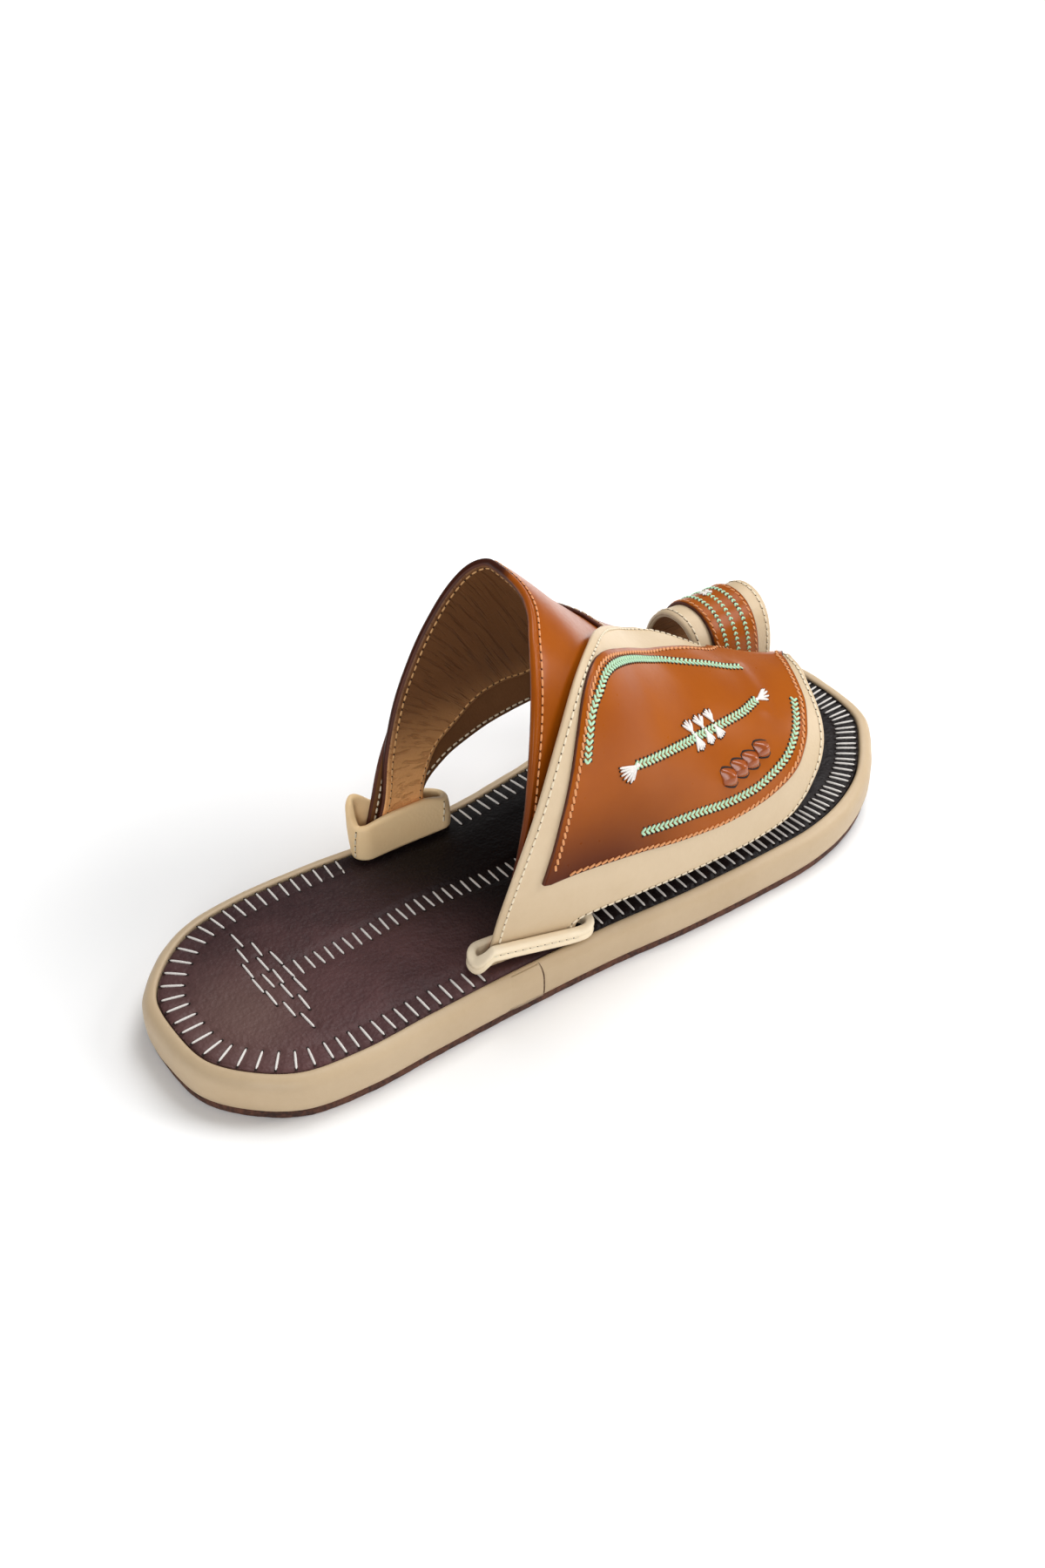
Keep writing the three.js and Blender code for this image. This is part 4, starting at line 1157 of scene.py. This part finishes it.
# %% The embroidery
# The rear, front and middle rows, as (turn, along)
CHAIN_ROWS = [
    [(0.801, 0.4533), (0.776, 0.4605), (0.748, 0.4708), (0.731, 0.4814), (0.718, 0.4916), (0.701, 0.5033),
     (0.685, 0.5184), (0.668, 0.5379), (0.648, 0.5632), (0.624, 0.6006), (0.602, 0.6404), (0.597, 0.6714),
     (0.595, 0.6969), (0.587, 0.7299), (0.572, 0.7681)],
    [(0.892, 0.5195), (0.887, 0.547), (0.881, 0.5733), (0.874, 0.6067), (0.869, 0.6417), (0.864, 0.6703),
     (0.856, 0.6989), (0.84, 0.7219), (0.821, 0.7421), (0.801, 0.7582), (0.772, 0.7741), (0.742, 0.7879),
     (0.704, 0.8005), (0.658, 0.8123)],
    [(0.809, 0.5133), (0.801, 0.5345), (0.79, 0.5569), (0.778, 0.5804), (0.765, 0.605), (0.75, 0.6314),
     (0.737, 0.6586), (0.721, 0.6923), (0.704, 0.7179), (0.673, 0.7466)],
]
CHAIN_PITCH = 1.9


def on_inset(spots, height, steps=None):
    """Points on the inset's face and its normals there, for spots given as (turn, along)."""
    spots = np.array(spots, float)
    if steps:
        keys, at = np.arange(len(spots)), np.linspace(0, len(spots) - 1, steps)
        spots = np.column_stack([follow(keys, spots[:, 0], at), follow(keys, spots[:, 1], at)])
    turn, y = spots[:, 0], along_to_y(spots[:, 1])
    return over(foot_top, turn, y, INSET.lift(turn, y) + INSET_TOP + height), normal_on(foot_top, turn, y)


def chain(points, normals, pitch, spread, length, width):
    """A row of chain stitch: pairs of short stitches that lean towards each other."""
    return [stitch for lean in (-1, 1)
            for stitch in sew(points, normals, pitch, length, width, 0.8, lean * 0.72, lean * spread)]


row = [stitch for line in CHAIN_ROWS
       for stitch in chain(*on_inset(line, 0.15, 400), CHAIN_PITCH, 0.62, 2.2, 0.92)]
piece("mint_embroidery", threads(row), [mint_thread])
for lean in (-1, 1):
    for line in CHAIN_ROWS:
        all_holes += sew(*on_inset(line, 0.05, 400), CHAIN_PITCH, 1.0, 0.85, 0.5, 0, lean * 1.55)

# Each fan or half tuft: first where its threads meet, then where each one ends
FANS = [
    [(0.809, 0.515), (0.8104, 0.4931), (0.8144, 0.4936), (0.8195, 0.494), (0.8238, 0.4969),
     (0.8272, 0.501), (0.8287, 0.5054), (0.8258, 0.5092)],
    [(0.672, 0.749), (0.64, 0.7692), (0.6375, 0.774), (0.6434, 0.776), (0.6565, 0.7733),
     (0.6699, 0.7664)],
    [(0.7479, 0.6157), (0.7404, 0.6027), (0.7345, 0.6075), (0.7303, 0.6116), (0.7276, 0.6192),
     (0.7327, 0.6201)],
    [(0.7352, 0.6379), (0.727, 0.6246), (0.7215, 0.6285), (0.7174, 0.632), (0.7135, 0.6416),
     (0.7161, 0.6452)],
    [(0.7224, 0.6598), (0.7108, 0.6488), (0.7062, 0.6535), (0.7025, 0.6571), (0.7016, 0.6636),
     (0.7095, 0.6637)],
    [(0.7554, 0.6196), (0.78, 0.616), (0.7775, 0.6213), (0.7773, 0.6254), (0.773, 0.629),
     (0.7687, 0.6312)],
    [(0.7446, 0.6416), (0.7647, 0.6382), (0.7662, 0.6424), (0.7662, 0.6457), (0.762, 0.649),
     (0.7576, 0.6523)],
    [(0.7353, 0.6609), (0.7556, 0.6587), (0.7571, 0.6622), (0.7551, 0.666), (0.7515, 0.6695),
     (0.7477, 0.6725)],
]
row = []
for root, *tips in FANS:
    for tip in tips:
        (start, end), (_, normal) = on_inset([root, tip], 0.35)
        start = start - 0.24 * (end - start)
        along = unit(end - start)
        row.append(((start + end) / 2, along, normal, float(np.linalg.norm(end - start)), 0.95, 0.8))
        all_holes.append((end - normal * 0.2, along, normal, 0.8, 0.8, 0.4))
piece("white_fans", threads(row), [white_thread])
print("stitches in the fans:", len(row))

# %% [markdown]
# Beside the embroidery a leather strip is woven through slits and stands up in four small lozenges. Each is
# a pointed pillow over a nearly flat dark sheet of the same outline, a little larger, that paints the shade
# of the slit and the pillow's shadow.

# %% The four lozenges
LOZENGES = [((0.8044, 0.65), (0.8461, 0.6632)), ((0.7929, 0.67), (0.8345, 0.6836)),
            ((0.7826, 0.6902), (0.8234, 0.7039)), ((0.7658, 0.7118), (0.8044, 0.7255))]
LOZENGE_HALF_WIDTH, LOZENGE_TWIST = 4.1, 1.5


def lozenge(spots, size, tall, flatness):
    """A pillow whose pointed ends lie at two spots, twisted a little like an S."""
    ends, normals = on_inset(spots, 0)
    centre, normal = ends.mean(0), unit(normals.sum(0))
    half_way = (ends[1] - ends[0]) / 2 * size
    across = np.cross(normal, unit(half_way))

    def place(u, v):
        forward, aside = (2 * u - 1)[:, None], (2 * v - 1)[:, None]
        half = LOZENGE_HALF_WIDTH * size * (1 - 0.93 * np.abs(forward)) ** 0.75
        rise = tall * (1 - np.abs(forward) ** flatness) * (1 - np.abs(aside) ** flatness) - 0.2
        shift = aside * half + LOZENGE_TWIST * forward * np.abs(forward)
        return centre + forward * half_way + shift * across + rise * normal

    return closed_up(laid_grid(10, 8, place, (0.008, 0.006)))


for number, spots in enumerate(LOZENGES):
    piece(f"lozenge_{number + 1}", lozenge(spots, 1.0, 3.6, 1.5), [lozenge_leather])
# A nearly flat dark sheet under each lozenge: painted shade of the slit and the pillow's shadow.
slit_shadows = joined(*(lozenge(spots, 1.14, 0.5, 8) for spots in LOZENGES))
piece("lozenge_slit_shadows", slit_shadows, [hole_shade])

# %% [markdown]
# The big toe goes through a loop of the same beige leather, lined in brown, with a brown band round its
# middle. The band carries three rows of mint thread and a small white knot.

# %% The toe loop
LOOP_FRONT = LOOP_REAR + LOOP["length"] / SOLE_LENGTH
# The band lies this far from the loop's rear edge, in mm, and leaves this share of the loop bare at each foot
BAND_REAR, BAND_FRONT, BAND_ENDS = LOOP_REAR + 8.1 / SOLE_LENGTH, LOOP_REAR + 29.2 / SOLE_LENGTH, 0.04


def straight_rows(first_turn, last_turn, rear, front):
    return [(turn, rear, turn, front) for turn in (first_turn, last_turn)]


LOOP_AROUND = Course(toe_top, straight_rows(0, 1, LOOP_REAR, LOOP_FRONT), constant(0))
loop_rim = [(0.3, 2.2), (0, 1.6), (0, 0.9), (0.3, 0.25)]
loop_section = section((0.9, 2.4, 18), loop_rim, (0.9, 0.0, 16), (0, 0, 1))
loop_marks = {"edge": near_edge(LOOP_AROUND, 1.1), "shadowed": lambda points: np.full(len(points), 0.7)}
piece("toe_loop_leather", band(LOOP_AROUND, loop_section, 110), [beige, tan_lining],
      ["toe_loop"], loop_marks)
LOOP_BAND = Course(toe_top, straight_rows(BAND_ENDS, 1 - BAND_ENDS, BAND_REAR, BAND_FRONT), constant(2.42))
loop_band_section = section((0.4, 1.3, 14), [(0.1, 1.15), (0, 0.6)], (0.05, 0.02, 10), (0, 1, 1))
piece("toe_loop_band", band(LOOP_BAND, loop_band_section, 110), [cognac, dark_edge],
      ["toe_loop_overlay"], {"edge": near_edge(LOOP_BAND, 1.2)})

sewn_rows("loop_cream_stitches", LOOP_AROUND, [(0, 2.2, 2.5, 0.03, 0.97), (1, -2.2, 2.5, 0.03, 0.97)],
          cream_thread, "trim_leather")
sewn_rows("loop_orange_stitches", LOOP_BAND, [(0, 1.5, 1.3, 0.02, 0.98), (1, -1.5, 1.3, 0.02, 0.98)],
          orange_thread, "strap_leather", pitch=2.4, length=2.1, width=0.7, turned=0.3)
MINT_LINES = 5.3, 10.6, 15.9
row = []
for extra in MINT_LINES:
    row += chain(*LOOP_BAND.line(0, extra, 1.35, 0.02, 0.98), CHAIN_PITCH, 0.35, 1.5, 0.8)
    all_holes += sew(*LOOP_BAND.line(0, extra, 1.2, 0.02, 0.98), CHAIN_PITCH, 0.7, 1.9, 0.5)
piece("loop_mint_stitches", threads(row), [mint_thread])
middle, normals = LOOP_BAND.line(0, MINT_LINES[1], 1.7, 0.42, 0.5, 3)
forward = unit(middle[2] - middle[0])
side = np.cross(normals[1], forward)
row = []
for lean in (-2.7, -2.3, -0.8, -0.4, 0.4, 0.8, 2.3, 2.7):
    direction = forward * math.sin(lean) + side * math.cos(lean)
    row.append((middle[1] + direction * 1.2, direction, normals[1], 2.6, 0.8, 0.8))
piece("loop_knot", threads(row), [white_thread])

# %% [markdown]
# The feet of the straps stand in keepers, collars of doubled beige leather sewn into the insole. The inner
# one is a tall collar whose rear rises in a lobe; the outer one is a belt that is raised off the insole
# at its rear, so that the panel's foot shows below it, and falls to a flat tip.

# %% The keepers
def turn_at_height(height, y, side):
    """Where on the arch a height over the insole is reached, on one of its sides."""
    rise = follow(ARCH[:, 0], ARCH[:, 2], y / SOLE_LENGTH + 0.5) * INSTEP_HEIGHT
    turn = np.arcsin(np.clip(height / rise, 0, 1) ** (1 / RISE_FULLNESS)) / np.pi
    return turn if side == "inner" else 1 - turn


class Collar:
    """A ring of leather round the feet of straps, stack thick together. top and foot give its edges' heights
    over the insole, from the share along it, 0 at its rear, and its face: 1 outwards, -1 towards the foot.
    rolls is how many rounded folds its outward face has."""

    def __init__(self, side, rear, length, stack, wall, top, foot, rolls):
        self.side, self.rear, self.length, self.stack, self.wall = side, rear, length, stack, wall
        self.rolls, self.top, self.foot, self.radius = rolls, top, foot, stack / 2 + SEAT
        self.straight = length - 2 * (self.radius + wall)

    def points(self, at, across, upward, extra=0.0):
        """at is the share of the way round from the front of the outward face; across is 0 outside and
        1 inside; upward is 0 at the foot and 1 at the top."""
        corner = np.pi * self.radius
        at = np.asarray(at, float) % 1 * (2 * self.straight + 2 * corner)
        swell = 0.6 * np.abs(np.sin(np.pi * self.rolls * upward)) ** 0.7 * (1 - across)
        spread = self.radius + self.wall * (1 - across) + extra + swell
        parts = [at < self.straight, at < self.straight + corner, at < 2 * self.straight + corner]
        first, second = (at - self.straight) / self.radius, (at - 2 * self.straight - corner) / self.radius
        half, rear_bend, front_bend = self.straight / 2, spread * np.sin(first), spread * np.sin(second)
        sides = [half - at, -half - rear_bend, at - 3 * half - corner]
        along = np.select(parts, sides, half + front_bend)
        face = np.select(parts, [1 + 0 * at, np.cos(first), -1 + 0 * at], -np.cos(second))
        share = np.clip((along + self.length / 2) / self.length, 0, 1)
        y = self.rear + self.length / 2 + along
        low, high = self.foot(share, face), self.top(share, face)
        turn = turn_at_height(low + (high - low) * upward, y, self.side)
        return over(foot_top, turn, y, self.stack / 2 + face * spread)

    def mesh(self, steps=130):
        levels = np.linspace(0, 0.9, 17)
        rounded = [(0.04, 0.95), (0.16, 0.985), (0.36, 1), (0.64, 1), (0.84, 0.985), (0.96, 0.95)]
        outside, inside = [(0, t) for t in levels], [(1, t) for t in levels[::-1]]
        ring = np.array(outside + rounded + inside + [(0.5, -0.01)])

        def place(u, v):
            index = np.rint(v * len(ring)).astype(int) % len(ring)
            return self.points(np.rint(u * steps) / steps, ring[index, 0], ring[index, 1])

        return closed_up(laid_grid(steps, len(ring), place, (0.1, 0.04)))

    def row(self, start, end, low, high):
        """A line of stitches on the collar's face from one place to another."""
        share = np.linspace(0, 1, 60)
        at, upward = start + (end - start) * share, low + (high - low) * share
        points = self.points(at, 0.0, upward, 0.2)
        within = self.points(at, 0.3, upward, 0.1)
        return sew(points, unit(points - within), 2.6, 1.9, 0.75, 0.6)


INNER_HEIGHT, LOBE_HEIGHT = 14.6, 8.0
BELT_WIDTH, BELT_RISE, BELT_PEAK = 5.4, 6.0, 0.14


def inner_top(share, face):
    lobe = LOBE_HEIGHT * np.exp(-(((share - 0.1) / 0.19) ** 2)) * soft_step(-0.6, 0.5, face)
    return INNER_HEIGHT + lobe - 2.6 * soft_step(0.7, 1, share) - 1.2 * soft_step(0.4, 0, share) * (face < 0)


def outer_foot(share, face):
    rise = soft_step(0.0, BELT_PEAK, share) * np.clip(1 - (share - BELT_PEAK) / 0.7, 0, 1)
    return BELT_RISE * soft_step(-0.4, 0.7, face) * rise


def outer_top(share, face):
    return outer_foot(share, face) + BELT_WIDTH + 1.2 * soft_step(0.2, -0.6, face)


INNER_KEEPER = Collar("inner", along_to_y(0.314), 37.5, 4.3, 2.5, inner_top, constant(0), 1)
OUTER_KEEPER = Collar("outer", along_to_y(0.316), 43, 4.6, 2.3, outer_top, outer_foot, 2)
# Painted light: both keepers take brightened copies of the beige.
piece("keeper_inner_leather", INNER_KEEPER.mesh(), [lit_keeper_tan], ["keeper_inner"])
piece("keeper_outer_leather", OUTER_KEEPER.mesh(), [lit_keeper_pale], ["keeper_outer"])
row = (INNER_KEEPER.row(0.455, 0.465, 0.1, 0.93) + INNER_KEEPER.row(0.89, 0.9, 0.3, 0.92)
       + OUTER_KEEPER.row(0.02, 0.4, 0.5, 0.5))
piece("keeper_stitches", threads(row), [cream_thread])
all_holes += holes_of(row)
# The awl holes are dark balls whose colour paints the shade inside them.
piece("awl_holes", threads(all_holes, HOLE), [hole_shade])
